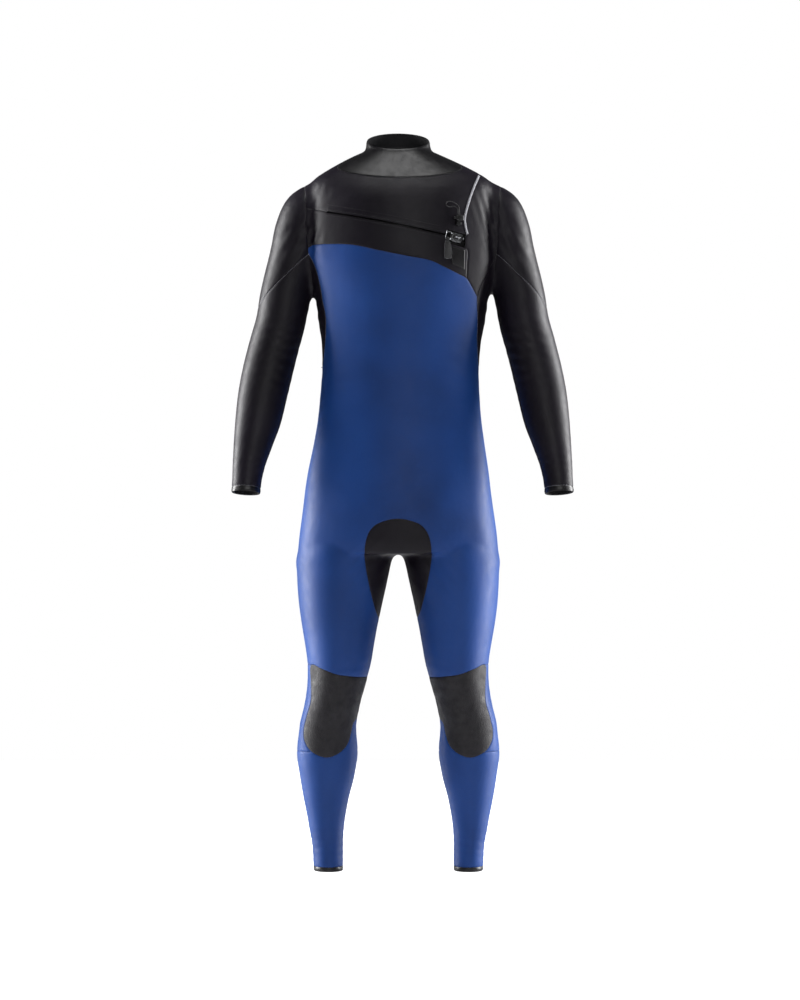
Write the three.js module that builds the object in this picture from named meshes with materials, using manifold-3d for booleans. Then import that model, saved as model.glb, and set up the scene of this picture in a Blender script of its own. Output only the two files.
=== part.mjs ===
// Chest-zip full wetsuit, size large, standing as it is worn. Millimetres, +Z up.
// The front faces -Y and the wearer's left arm is on +X. The origin is the centre of the neck rim.
import * as THREE from 'three';
import { mergeVertices } from 'three/addons/utils/BufferGeometryUtils.js';
import Module from 'manifold-3d';

const wasm = await Module();
wasm.setup();

// ---- Driving dimensions -------------------------------------------------------------------

const suitLength = 1458;      // neck rim centre to ankle hem
const girth = 1;              // ease of every width and depth, 1 is size large
const wall = 4;               // neoprene of the body
const limbWall = 3;           // neoprene of the sleeves and the legs
const seamGap = 0.3;          // joint between two panels that are sewn edge to edge
const sideRound = 0.74;       // corner radius of a body section as a share of its depth
const armCentre = 7;          // both arms lean this far to the wearer's left
const cuffHeight = 11;        // turned wrist hem
const ankleHemHeight = 9;     // turned ankle hem
const sideSeamY = 4;          // plane of the side and inside-leg seams
const shoulderSeamY = 12;     // plane of the shoulder seams
const overlayLift = 0.3;      // gap under a patch or binding glued on the outside
const overlayThickness = 1;
const bindingWidth = 4;

const zipSlope = THREE.MathUtils.degToRad(11.5);   // the zip falls towards the wearer's left
const zipHeight = -179;       // level of the zip on the centre line
const zipStart = THREE.MathUtils.degToRad(-32.5);  // angle of the box end
const zipEnd = THREE.MathUtils.degToRad(27);       // angle of the stop end
const sliderAngle = THREE.MathUtils.degToRad(23.6);
const slotWidth = 3;          // gap between the flap edge and the chest panel for the bail
const toothPitch = 8;
const toothWidth = 3.2;
const tapeWidth = 12;
const tapeThickness = 0.8;
const chainDepth = 11;      // middle of the tape below the outer surface
const sliderLength = 26;
const sliderWidth = 18;
const plateThickness = 2;
const bailWidth = 2.2;
const pivotHeight = 3.5;      // puller pin above the outer surface
const pinSize = 1.8;
const ringWire = 1.8;
const ringWidth = 16;
const ringLength = 13.4;
const tabThickness = 1.4;
const tabLean = THREE.MathUtils.degToRad(6);
const barrierDepth = 18;
const barrierThickness = 1.5;

const cordDiameter = 1.8;
const cordSpacing = 3;        // between the two runs through the lock
const cordHeight = 5;         // of the runs above the chest
const lockX = 115;
const lockTop = -157.5;
const lockHeight = 11;
const clearance = 0.3;

// Body sections: height, half width, front depth, back depth.
const torsoStations = [
  [-20, 64, 60, 58], [-38, 104, 70, 70], [-50, 128, 78, 80], [-62, 150, 86, 90],
  [-74, 170, 94, 100], [-88, 184, 103, 108], [-105, 189, 113, 114], [-130, 190, 120, 118],
  [-235, 190, 120, 118], [-270, 183, 119, 114], [-310, 174, 115, 109], [-362, 166.5, 109, 103],
  [-410, 158.5, 104, 98], [-458, 156.5, 101, 96], [-506, 159, 101, 98], [-554, 163, 103, 103],
  [-602, 170, 107, 110], [-665, 181, 113, 120], [-735, 190, 118, 127], [-794, 198, 116, 125],
  [-826, 201, 108, 116],
];
// Neck rings: height, half width, half depth, rise of the ring plane towards the back.
const neckStations = [
  [0, 63, 62, 0.364], [-20, 66, 64, 0.4], [-45, 74, 68, 0.45], [-75, 84, 70, 0.5],
];
// Arm rings: distance from the middle, y, height, half width, half depth.
const armStations = [
  [138, 4, -122, 44, 50], [166, 5, -131, 50, 55], [188, 6, -150, 55, 58], [201, 7, -182, 55, 58],
  [211, 8, -222, 53, 56], [224, 9, -268, 51, 54], [235, 10, -314, 51, 53], [244, 11, -362, 50, 52],
  [257, 10, -410, 50, 51], [269, 5, -458, 50, 49], [279, -4, -506, 49, 46], [287, -15, -554, 46, 42],
  [297, -27, -602, 39, 37], [306, -38, -650, 32, 31], [310, -46, -688, 29, 27], [311, -49, -704, 29, 27],
];
// Leg rings: height, distance from the middle, half width, half depth, y of the centre.
const legStations = [
  [-770, 96, 92, 88, 4], [-800, 101, 95, 94, 4], [-838, 108, 96, 98, 4], [-862, 110, 92.5, 98, 4],
  [-886, 112, 89.5, 97, 4], [-934, 115.5, 82, 92, 4], [-982, 117, 73.5, 85, 3],
  [-1030, 117, 65.5, 77, 1], [-1078, 122, 59, 69, 0], [-1126, 132, 55.5, 62, 0],
  [-1174, 141, 57, 59, 5], [-1222, 142, 61, 60, 10], [-1270, 142.5, 54.5, 56, 11],
  [-1318, 144.5, 44.5, 48, 9], [-1366, 144, 36, 41, 6], [-1414, 141, 30.5, 36, 3],
  [-1458, 140, 29.5, 36, 1],
];
// The middle of the suit wanders a little from side to side: height, shift.
const swayStations = [[30, -3], [-30, -1], [-90, 5], [-330, 6], [-458, 3], [-700, -2], [-1458, -1]];

const tall = suitLength / 1458;
const toHeight = (height) => height * tall;
const depthLimit = 400 * girth;

// ---- Solids -------------------------------------------------------------------------------

// A closed triangle mesh as a solid, turned the right way out if its faces point in.
function solidFrom(geometry) {
  geometry.deleteAttribute('normal');
  geometry.deleteAttribute('uv');
  const merged = mergeVertices(geometry, 1e-4);
  const vertProperties = new Float32Array(merged.attributes.position.array);
  const triVerts = new Uint32Array(merged.index.array);
  if (signedVolume(vertProperties, triVerts) < 0) {
    triVerts.reverse();
  }
  return new wasm.Manifold(new wasm.Mesh({ numProp: 3, vertProperties, triVerts }));
}

function signedVolume(vertices, triangles) {
  const [a, b, c] = [new THREE.Vector3(), new THREE.Vector3(), new THREE.Vector3()];
  let sum = 0;
  for (let i = 0; i < triangles.length; i += 3) {
    a.fromArray(vertices, triangles[i] * 3);
    b.fromArray(vertices, triangles[i + 1] * 3);
    c.fromArray(vertices, triangles[i + 2] * 3);
    sum += a.dot(b.cross(c));
  }
  return sum;
}

function geometryFrom(solid) {
  const mesh = solid.getMesh();
  const geometry = new THREE.BufferGeometry();
  const positions = new Float32Array(mesh.numVert * 3);
  for (let i = 0; i < mesh.numVert; i += 1) {
    for (let k = 0; k < 3; k += 1) {
      positions[i * 3 + k] = mesh.vertProperties[i * mesh.numProp + k];
    }
  }
  geometry.setAttribute('position', new THREE.BufferAttribute(positions, 3));
  geometry.setIndex(new THREE.BufferAttribute(new Uint32Array(mesh.triVerts), 1));
  geometry.computeVertexNormals();
  return geometry;
}

const union = (solids) => solids.reduce((sum, solid) => sum.add(solid));
const cut = (solid, tools) => tools.reduce((rest, tool) => rest.subtract(tool), solid);

// A closed solid through rings that all have the same number of points.
function loft(rings) {
  const count = rings[0].length;
  const points = rings.flat();
  const triangles = [];
  for (let r = 0; r + 1 < rings.length; r += 1) {
    for (let i = 0; i < count; i += 1) {
      const next = (i + 1) % count;
      const [a, b] = [r * count + i, r * count + next];
      triangles.push(a, b, b + count, a, b + count, a + count);
    }
  }
  for (const [ring, flip] of [[0, true], [rings.length - 1, false]]) {
    const centre = points.length;
    const middle = new THREE.Vector3();
    rings[ring].forEach((point) => middle.add(point));
    points.push(middle.divideScalar(count));
    for (let i = 0; i < count; i += 1) {
      const [a, b] = [ring * count + i, ring * count + ((i + 1) % count)];
      triangles.push(centre, ...(flip ? [b, a] : [a, b]));
    }
  }
  const geometry = new THREE.BufferGeometry().setFromPoints(points);
  geometry.setIndex(triangles);
  return solidFrom(geometry);
}

// A rectangular block between two corners, placed by a matrix.
function block(low, high, matrix = new THREE.Matrix4()) {
  const geometry = new THREE.BoxGeometry(high[0] - low[0], high[1] - low[1], high[2] - low[2]);
  geometry.translate((low[0] + high[0]) / 2, (low[1] + high[1]) / 2, (low[2] + high[2]) / 2);
  return solidFrom(geometry.applyMatrix4(matrix));
}

// A front-view outline of [x, height] points, extruded from one depth to another.
function prism(outline, yFrom, yTo) {
  const shape = new THREE.Shape(outline.map(([x, z]) => new THREE.Vector2(x, z)));
  const geometry = new THREE.ExtrudeGeometry(shape, { depth: yTo - yFrom, bevelEnabled: false });
  geometry.rotateX(Math.PI / 2);
  geometry.translate(0, yTo, 0);
  return solidFrom(geometry);
}

// A thin wall that stands on a front-view line and cuts one panel from the next.
function seamWall(line, yFrom, yTo, width = seamGap) {
  const points = line.map(([x, z]) => new THREE.Vector2(x, z));
  const normals = points.map((point, i) => {
    const before = points[Math.max(i - 1, 0)];
    const after = points[Math.min(i + 1, points.length - 1)];
    const along = after.clone().sub(before).normalize();
    return new THREE.Vector2(-along.y, along.x).multiplyScalar(width / 2);
  });
  const left = points.map((point, i) => point.clone().add(normals[i]));
  const right = points.map((point, i) => point.clone().sub(normals[i])).reverse();
  return prism([...left, ...right].map((point) => [point.x, point.y]), yFrom, yTo);
}

// ---- The body form ------------------------------------------------------------------------

// Straight-line lookup in a table of rows that fall in height.
function lookUp(rows, height) {
  const last = rows.length - 1;
  if (height >= rows[0][0]) {
    return rows[0].slice(1);
  }
  const index = rows.findIndex((row) => row[0] <= height);
  if (index < 0) {
    return rows[last].slice(1);
  }
  const [above, below] = [rows[index - 1], rows[index]];
  const t = (above[0] - height) / (above[0] - below[0]);
  return above.slice(1).map((value, i) => value + t * (below[i + 1] - value));
}

const sway = (height) => lookUp(swayStations, height / tall)[0];

// One half of a body section: a wide arc over the chest or back that turns into the side.
function sectionArcs(halfWidth, depth) {
  const corner = sideRound * depth;
  const reach = halfWidth - corner;
  const radius = (reach ** 2 + depth ** 2 - corner ** 2) / (2 * (depth - corner));
  return { corner, reach, radius, turn: Math.atan2(reach, radius - depth), depth };
}

function arcPoints(arcs, offset, sign, wide, narrow) {
  const points = [];
  for (let i = 0; i <= wide; i += 1) {
    const angle = arcs.turn * (2 * i / wide - 1);
    const r = arcs.radius - offset;
    points.push([r * Math.sin(angle), sign * (r * Math.cos(angle) - arcs.radius + arcs.depth)]);
  }
  for (let i = 1; i <= narrow; i += 1) {
    const angle = arcs.turn + (Math.PI / 2 - arcs.turn) * (i / narrow);
    const r = arcs.corner - offset;
    const point = [arcs.reach + r * Math.sin(angle), sign * r * Math.cos(angle)];
    points.push(point);
    if (i < narrow) {
      points.unshift([-point[0], point[1]]);
    }
  }
  return points;
}

function torsoRing(station, offset, drop) {
  const [height, halfWidth, front, back] = station;
  const frontHalf = arcPoints(sectionArcs(halfWidth * girth, front * girth), offset, -1, 8, 3);
  const backHalf = arcPoints(sectionArcs(halfWidth * girth, back * girth), offset, 1, 6, 2);
  const outline = [...frontHalf, ...backHalf.reverse().slice(1)];
  outline.push([-frontHalf[frontHalf.length - 1][0], 0]);
  const z = toHeight(height);
  return outline.map(([x, y]) => new THREE.Vector3(x + sway(z), y, z - drop));
}

// The inside of a sloping shoulder lies lower as well as nearer to the middle.
function torsoForm(offset) {
  const rings = torsoStations.map((station) => {
    const flat = THREE.MathUtils.clamp((station[0] + 130) / 60, 0, 1);
    return torsoRing(station, offset, offset * flat);
  });
  const bottom = rings[rings.length - 1];
  bottom.forEach((point) => { point.z += Math.max(offset, 0); });
  return loft(rings);
}

function ellipseRing(centre, side, rise, halfWidth, halfDepth, count) {
  return Array.from({ length: count }, (_, i) => {
    const angle = (2 * Math.PI * i) / count;
    return centre.clone()
      .addScaledVector(side, halfWidth * Math.cos(angle))
      .addScaledVector(rise, halfDepth * Math.sin(angle));
  });
}

function neckForm(offset, past) {
  const rings = neckStations.map(([height, halfWidth, halfDepth, rise]) => ellipseRing(
    new THREE.Vector3(sway(toHeight(height)), 0, toHeight(height)),
    new THREE.Vector3(1, 0, 0),
    new THREE.Vector3(0, 1, rise),
    halfWidth * girth - offset,
    halfDepth * girth - offset,
    16,
  ));
  const rim = rings[0].map((point) => point.clone().add(new THREE.Vector3(0, 0, past)));
  return loft(past > 0 ? [rim, ...rings] : rings);
}

const armPath = (side) => armStations.map(([x, y, z]) => (
  new THREE.Vector3(side * x * girth + armCentre, y * girth, toHeight(z))
));

// Centre, direction and cross directions of the arm at one of its rings.
function armFrame(side, index) {
  const path = armPath(side);
  const before = path[Math.max(index - 1, 0)];
  const after = path[Math.min(index + 1, path.length - 1)];
  const along = after.clone().sub(before).normalize();
  const across = new THREE.Vector3(0, 1, 0).cross(along).normalize();
  return { centre: path[index], along, across, rise: along.clone().cross(across) };
}

function armForm(side, offset, past) {
  const rings = armStations.map(([, , , halfWidth, halfDepth], index) => {
    const frame = armFrame(side, index);
    return ellipseRing(
      frame.centre, frame.across, frame.rise, halfWidth * girth - offset, halfDepth * girth - offset, 12,
    );
  });
  if (past > 0) {
    const { along } = armFrame(side, armStations.length - 1);
    rings.push(rings[rings.length - 1].map((point) => point.clone().addScaledVector(along, past)));
  }
  return loft(rings);
}

function legForm(side, offset, past) {
  const rings = legStations.map(([height, x, halfWidth, halfDepth, y]) => {
    const z = toHeight(height);
    return ellipseRing(
      new THREE.Vector3(side * x * girth + sway(z), y * girth, z),
      new THREE.Vector3(1, 0, 0),
      new THREE.Vector3(0, 1, 0),
      halfWidth * girth - offset,
      halfDepth * girth - offset,
      12,
    );
  });
  if (past > 0) {
    const hem = rings[rings.length - 1];
    rings.push(hem.map((point) => point.clone().add(new THREE.Vector3(0, 0, -past))));
  }
  return loft(rings);
}

const sides = [['left', 1], ['right', -1]];
const endReach = 10;
const outside = union([
  torsoForm(0), neckForm(0, 0), ...sides.flatMap(([, s]) => [armForm(s, 0, 0), legForm(s, 0, 0)]),
]);
const inside = union([
  torsoForm(wall),
  neckForm(limbWall, endReach),
  ...sides.flatMap(([, s]) => [armForm(s, limbWall, endReach), legForm(s, limbWall, endReach)]),
]);

// ---- Pattern lines ------------------------------------------------------------------------

const line = (points) => points.map(([x, z]) => [x * girth, toHeight(z)]);
const mirrored = (points, side, middle) => (
  points.map(([x, z]) => [side * x * girth + middle, toHeight(z)])
);

// Where the inner line of the arm meets the side of the body, as distance from the middle and height.
function findArmpit() {
  for (let i = 4; i < armStations.length; i += 1) {
    const gapAt = (index) => {
      const [x, , z, halfWidth] = armStations[index];
      return x - halfWidth - lookUp(torsoStations, z)[0];
    };
    if (gapAt(i) > 0) {
      const t = gapAt(i - 1) / (gapAt(i - 1) - gapAt(i));
      const z = armStations[i - 1][2] + t * (armStations[i][2] - armStations[i - 1][2]);
      return [lookUp(torsoStations, z)[0], z];
    }
  }
  return null;
}

const armpit = findArmpit();
const armholeLine = [
  [201, -40], [196, -90], [191, -150], [187, -225], [armpit[0] + 1.5, armpit[1] + 1],
  [armpit[0] + 2, armpit[1] - 14],
];
const sleeveLine = [[180, -226], [197, -238], [237, -276], [257, -294], [277, -316], [310, -362]];
const flapEdge = [[168, -40], [162, -65], [148, -100], [137, -132], [130, -160], [131, -178], [135, -194]];
const flapCorner = [[136, -227], [135, -250], [134, -285]];
const chestEdge = [
  [-186, -224], [-176, -215], [-166, -212], [-98, -215], [-38, -228], [16, -239], [60, -247], [88, -259],
  [116, -272], [134, -281], [145, -298], [155.5, -316],
];
// Below the armhole a side seam runs out to the widest line of the body: height, distance from it.
const sideSeamInset = [[-358, 16], [-400, 8], [-430, 3.5], [-450, 0.4], [-475, -5]];
const rightFrontTop = [[-183, -222], [-166, -258], [-157, -294], [-152, -324]];
const leftFrontTop = [[199, -222], [176, -268], [163, -292], [155, -316]];
const backTop = [[190, -226], [174, -262], [158, -304]];
const backYokeEdge = [[-171, -262], [-100, -288], [0, -298], [100, -288], [182, -262]];
const zipLeadEnd = [[-172, -142], [-200, -138]];
const gussetEdge = [
  [28, -972], [40, -948], [48, -923], [58, -880], [66, -828], [61, -790], [46, -768], [22, -758], [0, -755],
];
const padEdge = [
  [50, -1072], [63, -1071], [117, -1064], [150, -1053], [174, -1046], [174, -1082], [174, -1118],
  [183, -1150], [189, -1178], [186, -1200], [171, -1219], [143, -1229], [118, -1221], [101, -1205],
  [93, -1182], [88, -1162], [70, -1142],
];
const kneeTop = -1046;
const kneeBottom = -1219;

// A side seam: chosen points below the armhole, then the run out to the widest line.
function sideLine(side, top) {
  const lower = sideSeamInset.map(([height, inset]) => {
    const halfWidth = (lookUp(torsoStations, height)[0] - inset) * girth;
    return [side * halfWidth + sway(toHeight(height)), toHeight(height)];
  });
  return [...top, ...lower];
}

// A flat cut across the suit at a point, square to a direction.
function planeCut(point, direction, reach) {
  const turn = new THREE.Quaternion().setFromUnitVectors(new THREE.Vector3(0, 0, 1), direction);
  const matrix = new THREE.Matrix4().compose(point, turn, new THREE.Vector3(1, 1, 1));
  return block([-reach, -reach, -seamGap / 2], [reach, reach, seamGap / 2], matrix);
}

// A flat cut in the plane y = depth, between two widths and two heights.
function sideCut(depth, xFrom, xTo, zFrom, zTo) {
  const [x0, x1] = [Math.min(xFrom, xTo), Math.max(xFrom, xTo)];
  return block([x0, depth - seamGap / 2, zTo], [x1, depth + seamGap / 2, zFrom]);
}

function bodyCuts() {
  const collarNormal = new THREE.Vector3(0, -0.455, 1).normalize();
  const front = [-depthLimit, sideSeamY];
  const back = [sideSeamY, depthLimit];
  const shoulder = lookUp(torsoStations, -88)[0] * girth;
  return [
    planeCut(new THREE.Vector3(0, 0, toHeight(-38)), collarNormal, 130 * girth),
    sideCut(shoulderSeamY, -shoulder - 6, shoulder + 22, toHeight(-31.5), toHeight(-140)),
    seamWall([...line(flapEdge), zipSpot(sliderAngle, 13, 4)], -depthLimit, shoulderSeamY),
    seamWall([zipSpot(sliderAngle, 15, -12), ...line(flapCorner)], -depthLimit, 0),
    seamWall(line(chestEdge), ...front),
    seamWall([zipSpot(zipStart, 4, 0), ...line(zipLeadEnd)], ...front),
    seamWall(sideLine(-1, line(rightFrontTop)), ...front),
    seamWall(sideLine(1, line(leftFrontTop)), ...front),
    seamWall(sideLine(1, mirrored(backTop, 1, sway(toHeight(-262)))), ...back),
    seamWall(sideLine(-1, mirrored(backTop, -1, sway(toHeight(-262)))), ...back),
    seamWall(line(backYokeEdge), ...back),
  ];
}

function sleeveCuts(side) {
  const elbowEnd = armFrame(side, 10);
  const hem = armFrame(side, armStations.length - 1);
  const cuffTop = hem.centre.clone().addScaledVector(hem.along, -cuffHeight);
  return [
    seamWall(mirrored(armholeLine, side, armCentre), -depthLimit, depthLimit),
    seamWall(mirrored(sleeveLine, side, armCentre), -depthLimit, depthLimit),
    planeCut(elbowEnd.centre, elbowEnd.along, 60 * girth),
    planeCut(cuffTop, hem.along, 45 * girth),
  ];
}

function legCuts(side) {
  const middle = sway(toHeight(-1000));
  const x = (distance) => side * distance * girth + middle;
  const [top, bottom] = [toHeight(kneeTop), toHeight(kneeBottom)];
  const cuff = toHeight(-1458) + ankleHemHeight;
  const front = [-depthLimit, sideSeamY];
  return [
    sideCut(sideSeamY, x(60), x(190), toHeight(-408), toHeight(-560)),
    sideCut(sideSeamY, x(60), x(214), toHeight(-560), top),
    sideCut(sideSeamY, x(110), x(260), bottom, cuff),
    sideCut(sideSeamY, x(5), x(125), toHeight(-936), cuff),
    seamWall(mirrored(padEdge, side, middle), ...front),
    seamWall(mirrored([[173.5, kneeTop], [230, kneeTop]], side, middle), ...front),
    seamWall(mirrored([[168, kneeBottom], [230, kneeBottom]], side, middle), ...front),
    seamWall(mirrored([[0, kneeTop], [230, kneeTop]], side, middle), sideSeamY, depthLimit),
    seamWall(mirrored([[0, kneeBottom], [230, kneeBottom]], side, middle), sideSeamY, depthLimit),
    planeCut(new THREE.Vector3(x(140), 0, cuff), new THREE.Vector3(0, 0, 1), 60 * girth),
  ];
}

function gussetCut() {
  const middle = sway(toHeight(-850));
  const right = mirrored(gussetEdge, -1, middle);
  const left = mirrored(gussetEdge, 1, middle).reverse().slice(1);
  return seamWall([...right, ...left], -depthLimit, depthLimit);
}

// ---- The zip's own frame ------------------------------------------------------------------

// The chest is an upright cylinder where the zip crosses it, so the zip is an arc in a tilted plane.
const chest = sectionArcs(lookUp(torsoStations, -180)[0] * girth, lookUp(torsoStations, -180)[1] * girth);
const zipRadius = chest.radius / Math.cos(zipSlope) ** 2;
const zipAcross = new THREE.Vector3(Math.cos(zipSlope), 0, -Math.sin(zipSlope));
const zipUp = new THREE.Vector3(Math.sin(zipSlope), 0, Math.cos(zipSlope));
const zipOut = new THREE.Vector3(0, -1, 0);
const zipLevel = toHeight(zipHeight);
const zipCentre = new THREE.Vector3(sway(zipLevel), zipRadius - chest.depth, zipLevel);

function zipPoint(angle, depth, rise) {
  const reach = zipRadius - depth;
  return zipCentre.clone()
    .addScaledVector(zipAcross, reach * Math.sin(angle))
    .addScaledVector(zipOut, reach * Math.cos(angle))
    .addScaledVector(zipUp, rise);
}

// Front-view place of a point so far along the zip from an angle, and so far above it.
function zipSpot(angle, along, rise) {
  const point = zipPoint(angle + arcStep(along), 0, rise);
  return [point.x, point.z];
}

// A strip that follows the zip between two depths, two heights and two angles.
function zipStrip(depths, rises, angles, steps = 16) {
  const rings = [];
  for (let i = 0; i <= steps; i += 1) {
    const angle = angles[0] + (angles[1] - angles[0]) * (i / steps);
    rings.push([
      zipPoint(angle, depths[0], rises[0]), zipPoint(angle, depths[1], rises[0]),
      zipPoint(angle, depths[1], rises[1]), zipPoint(angle, depths[0], rises[1]),
    ]);
  }
  return loft(rings);
}

const arcStep = (length) => length / zipRadius;

// Local axes at the slider: along the zip to the left, up across the zip, out from the chest.
function sliderFrame() {
  const origin = zipPoint(sliderAngle, 0, 0);
  const out = origin.clone().sub(zipCentre).normalize();
  const along = zipUp.clone().cross(out);
  return new THREE.Matrix4().makeBasis(along, zipUp, out).setPosition(origin);
}

const slider = sliderFrame();
const sliderBlock = (low, high) => block(low, high, slider);

// Local axes on the chest at a width and a height: along, up, out.
function chestFrame(x, z) {
  const angle = Math.asin((x - sway(z)) / chest.radius);
  const out = new THREE.Vector3(Math.sin(angle), -Math.cos(angle), 0);
  const y = chest.radius - chest.depth - chest.radius * Math.cos(angle);
  const along = new THREE.Vector3(Math.cos(angle), Math.sin(angle), 0);
  const up = new THREE.Vector3(0, 0, 1);
  return new THREE.Matrix4().makeBasis(along, up, out.clone())
    .setPosition(new THREE.Vector3(x, y, z));
}

// ---- Materials ----------------------------------------------------------------------------

const paint = (color, roughness, metalness = 0) => ({ color, roughness, metalness });
const blueJersey = paint(0x2d5091, 0.7);
const blackJersey = paint(0x1e1c24, 0.65);
const blackSmooth = paint(0x17161b, 0.4);
const kneeRubber = paint(0x26222a, 0.85);
const binding = paint(0xb8b8bf, 0.6);
const blackPlastic = paint(0x141416, 0.45);
const zincFinish = paint(0xb4b6ba, 0.3, 1);
const webbing = paint(0x121214, 0.9);
const tapeCloth = paint(0x18181a, 0.9);

const suit = new THREE.Group();

function addPiece(name, solid, finish) {
  const mesh = new THREE.Mesh(geometryFrom(solid), new THREE.MeshStandardMaterial(finish));
  mesh.name = name;
  suit.add(mesh);
}

// ---- Panels -------------------------------------------------------------------------------

// The slot that the slider's bail runs in, and the window that shows the closed slider.
const windowCorners = [[-25, 10], [17, 10], [21, -17], [-19, -15]];
const window = windowCorners.map(([along, rise]) => zipSpot(sliderAngle, along, rise));
const slotAngles = [zipStart - arcStep(1), zipEnd - arcStep(6)];
const slot = zipStrip([-30, 8], [-slotWidth / 2, slotWidth / 2], slotAngles);
const panels = cut(outside.subtract(inside), [
  ...bodyCuts(),
  ...sides.flatMap(([, side]) => [...sleeveCuts(side), ...legCuts(side)]),
  gussetCut(),
  slot,
  prism(window, -depthLimit, 0),
]).decompose();

// The panel that a straight line from the front, or from the back, meets first.
function panelAt(x, height, from) {
  const [yFrom, yTo] = from === 'front' ? [-depthLimit, 0] : [sideSeamY * 2, depthLimit];
  const probe = block([x - 1, yFrom, toHeight(height) - 1], [x + 1, yTo, toHeight(height) + 1]);
  return panels
    .map((panel) => [panel, panel.intersect(probe).volume()])
    .filter(([, volume]) => volume > 0)
    .sort((a, b) => b[1] - a[1])[0][0];
}

const bodyPanels = [
  ['neck_collar', 0, -50, 'front', blackSmooth],
  ['entry_yoke', 0, -130, 'front', blackJersey],
  ['left_shoulder_panel', 165, -160, 'front', blackJersey],
  ['lower_chest_panel', 0, -208, 'front', blackJersey],
  ['front_body_panel', 0, -450, 'front', blueJersey],
  ['back_yoke', 0, -200, 'back', blackJersey],
  ['back_body_panel', 0, -600, 'back', blueJersey],
  ['left_side_panel', 168, -345, 'front', blackJersey],
  ['right_side_panel', -161, -335, 'front', blackJersey],
  ['crotch_gusset', 0, -790, 'front', blackJersey],
];
for (const [name, x, height, from, finish] of bodyPanels) {
  addPiece(name, panelAt(x * girth, height, from), finish);
}

const limbPanels = [
  ['upper_sleeve', 235, -200, 'front', blackJersey],
  ['elbow_panel', 262, -430, 'front', blackJersey],
  ['forearm_panel', 290, -580, 'front', blackJersey],
  ['wrist_cuff', 311, -699, 'front', blackSmooth],
  ['knee_pad', 132, -1130, 'front', kneeRubber],
  ['knee_back_panel', 132, -1130, 'back', blueJersey],
  ['shin_panel', 143, -1330, 'front', blueJersey],
  ['calf_panel', 143, -1330, 'back', blueJersey],
  ['ankle_cuff', 140, -1453.5, 'front', blackSmooth],
];
for (const [sideName, side] of sides) {
  for (const [name, x, height, from, finish] of limbPanels) {
    addPiece(`${sideName}_${name}`, panelAt(side * x * girth, height, from), finish);
  }
}

// Thin cloth glued on the outside of the chest, within a front-view outline.
const outer = torsoForm(-overlayLift - overlayThickness).subtract(torsoForm(-overlayLift));
const overlay = (tool) => outer.intersect(tool);
const bindingLine = line([[159, -74], ...flapEdge.slice(2)]);
const patchOutline = line([[100, -218], [130, -225], [129, -264], [104, -254]]);
addPiece('flap_edge_binding', overlay(seamWall(bindingLine, -depthLimit, 0, bindingWidth)), binding);
addPiece('zip_end_patch', overlay(prism(patchOutline, -depthLimit, 0)), blackSmooth);

// ---- Zip ----------------------------------------------------------------------------------

const zipReach = [zipStart - arcStep(7), zipEnd + arcStep(7)];
const lining = torsoForm(wall + clearance);
const facingIn = wall - 1;
const tapeTop = chainDepth - tapeThickness / 2;
const railInner = 2.5;
const railOuter = 3.7;
const toothTip = -1.6;
const rowDepths = [chainDepth - 2.5, chainDepth + 2.5];

// One half of the chain: a rail on the tape edge with teeth that reach past the middle.
function toothRow(sign, shift) {
  const section = (angle, inner) => {
    const rises = [sign * inner, sign * railOuter];
    return [
      zipPoint(angle, rowDepths[0], rises[0]), zipPoint(angle, rowDepths[1], rises[0]),
      zipPoint(angle, rowDepths[1], rises[1]), zipPoint(angle, rowDepths[0], rises[1]),
    ];
  };
  const rings = [section(zipStart, railInner)];
  const lastTooth = sliderAngle + arcStep(2);
  const count = Math.floor((lastTooth - zipStart) / arcStep(toothPitch)) - 1;
  for (let i = 0; i < count; i += 1) {
    const start = zipStart + arcStep(shift + i * toothPitch + 0.6);
    const end = start + arcStep(toothWidth);
    rings.push(section(start, railInner), section(start, toothTip));
    rings.push(section(end, toothTip), section(end, railInner));
  }
  for (let i = 1; i <= 4; i += 1) {
    rings.push(section(lastTooth + ((zipEnd - lastTooth) * i) / 4, railInner));
  }
  return loft(rings);
}

for (const [name, sign, shift] of [['upper', 1, 0], ['lower', -1, toothPitch / 2]]) {
  const band = (from, to) => [sign * from, sign * to].sort((a, b) => a - b);
  const tapeEdge = railOuter + clearance;
  const tape = zipStrip([tapeTop, tapeTop + tapeThickness], band(tapeEdge, tapeEdge + tapeWidth), zipReach);
  addPiece(`zip_tape_${name}`, tape, tapeCloth);
  addPiece(`zip_teeth_${name}`, toothRow(sign, shift), blackPlastic);
  const facing = zipStrip([facingIn, tapeTop - clearance], band(11, 17), zipReach);
  addPiece(`zip_facing_${name}`, facing.intersect(lining), blackSmooth);
}

const boxEnd = zipStart - arcStep(clearance);
const retainer = zipStrip(rowDepths, [-railOuter, railOuter], [boxEnd - arcStep(6), boxEnd], 1);
addPiece('zip_retainer_box', retainer, blackPlastic);
const stopStart = zipEnd + arcStep(clearance);
const stop = zipStrip(rowDepths, [-railOuter, railOuter], [stopStart, stopStart + arcStep(4)], 1);
addPiece('zip_end_stop', stop, zincFinish);

function barrier() {
  const rises = [-20, 20];
  const from = zipStart - arcStep(10);
  const to = zipEnd + arcStep(11);
  const web = zipStrip([barrierDepth, barrierDepth + barrierThickness], rises, [from, to]);
  const ribs = [[from, from + arcStep(2)], [to - arcStep(2), to]].map((angles) => (
    zipStrip([facingIn, barrierDepth + 0.5], rises, angles, 1).intersect(lining)
  ));
  return union([web, ...ribs]);
}
addPiece('inner_water_barrier', barrier(), blackSmooth);

const plateTop = 6;
const plateGap = 6;
const halfSlider = sliderLength / 2;
const halfWidthSlider = sliderWidth / 2;

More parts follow.
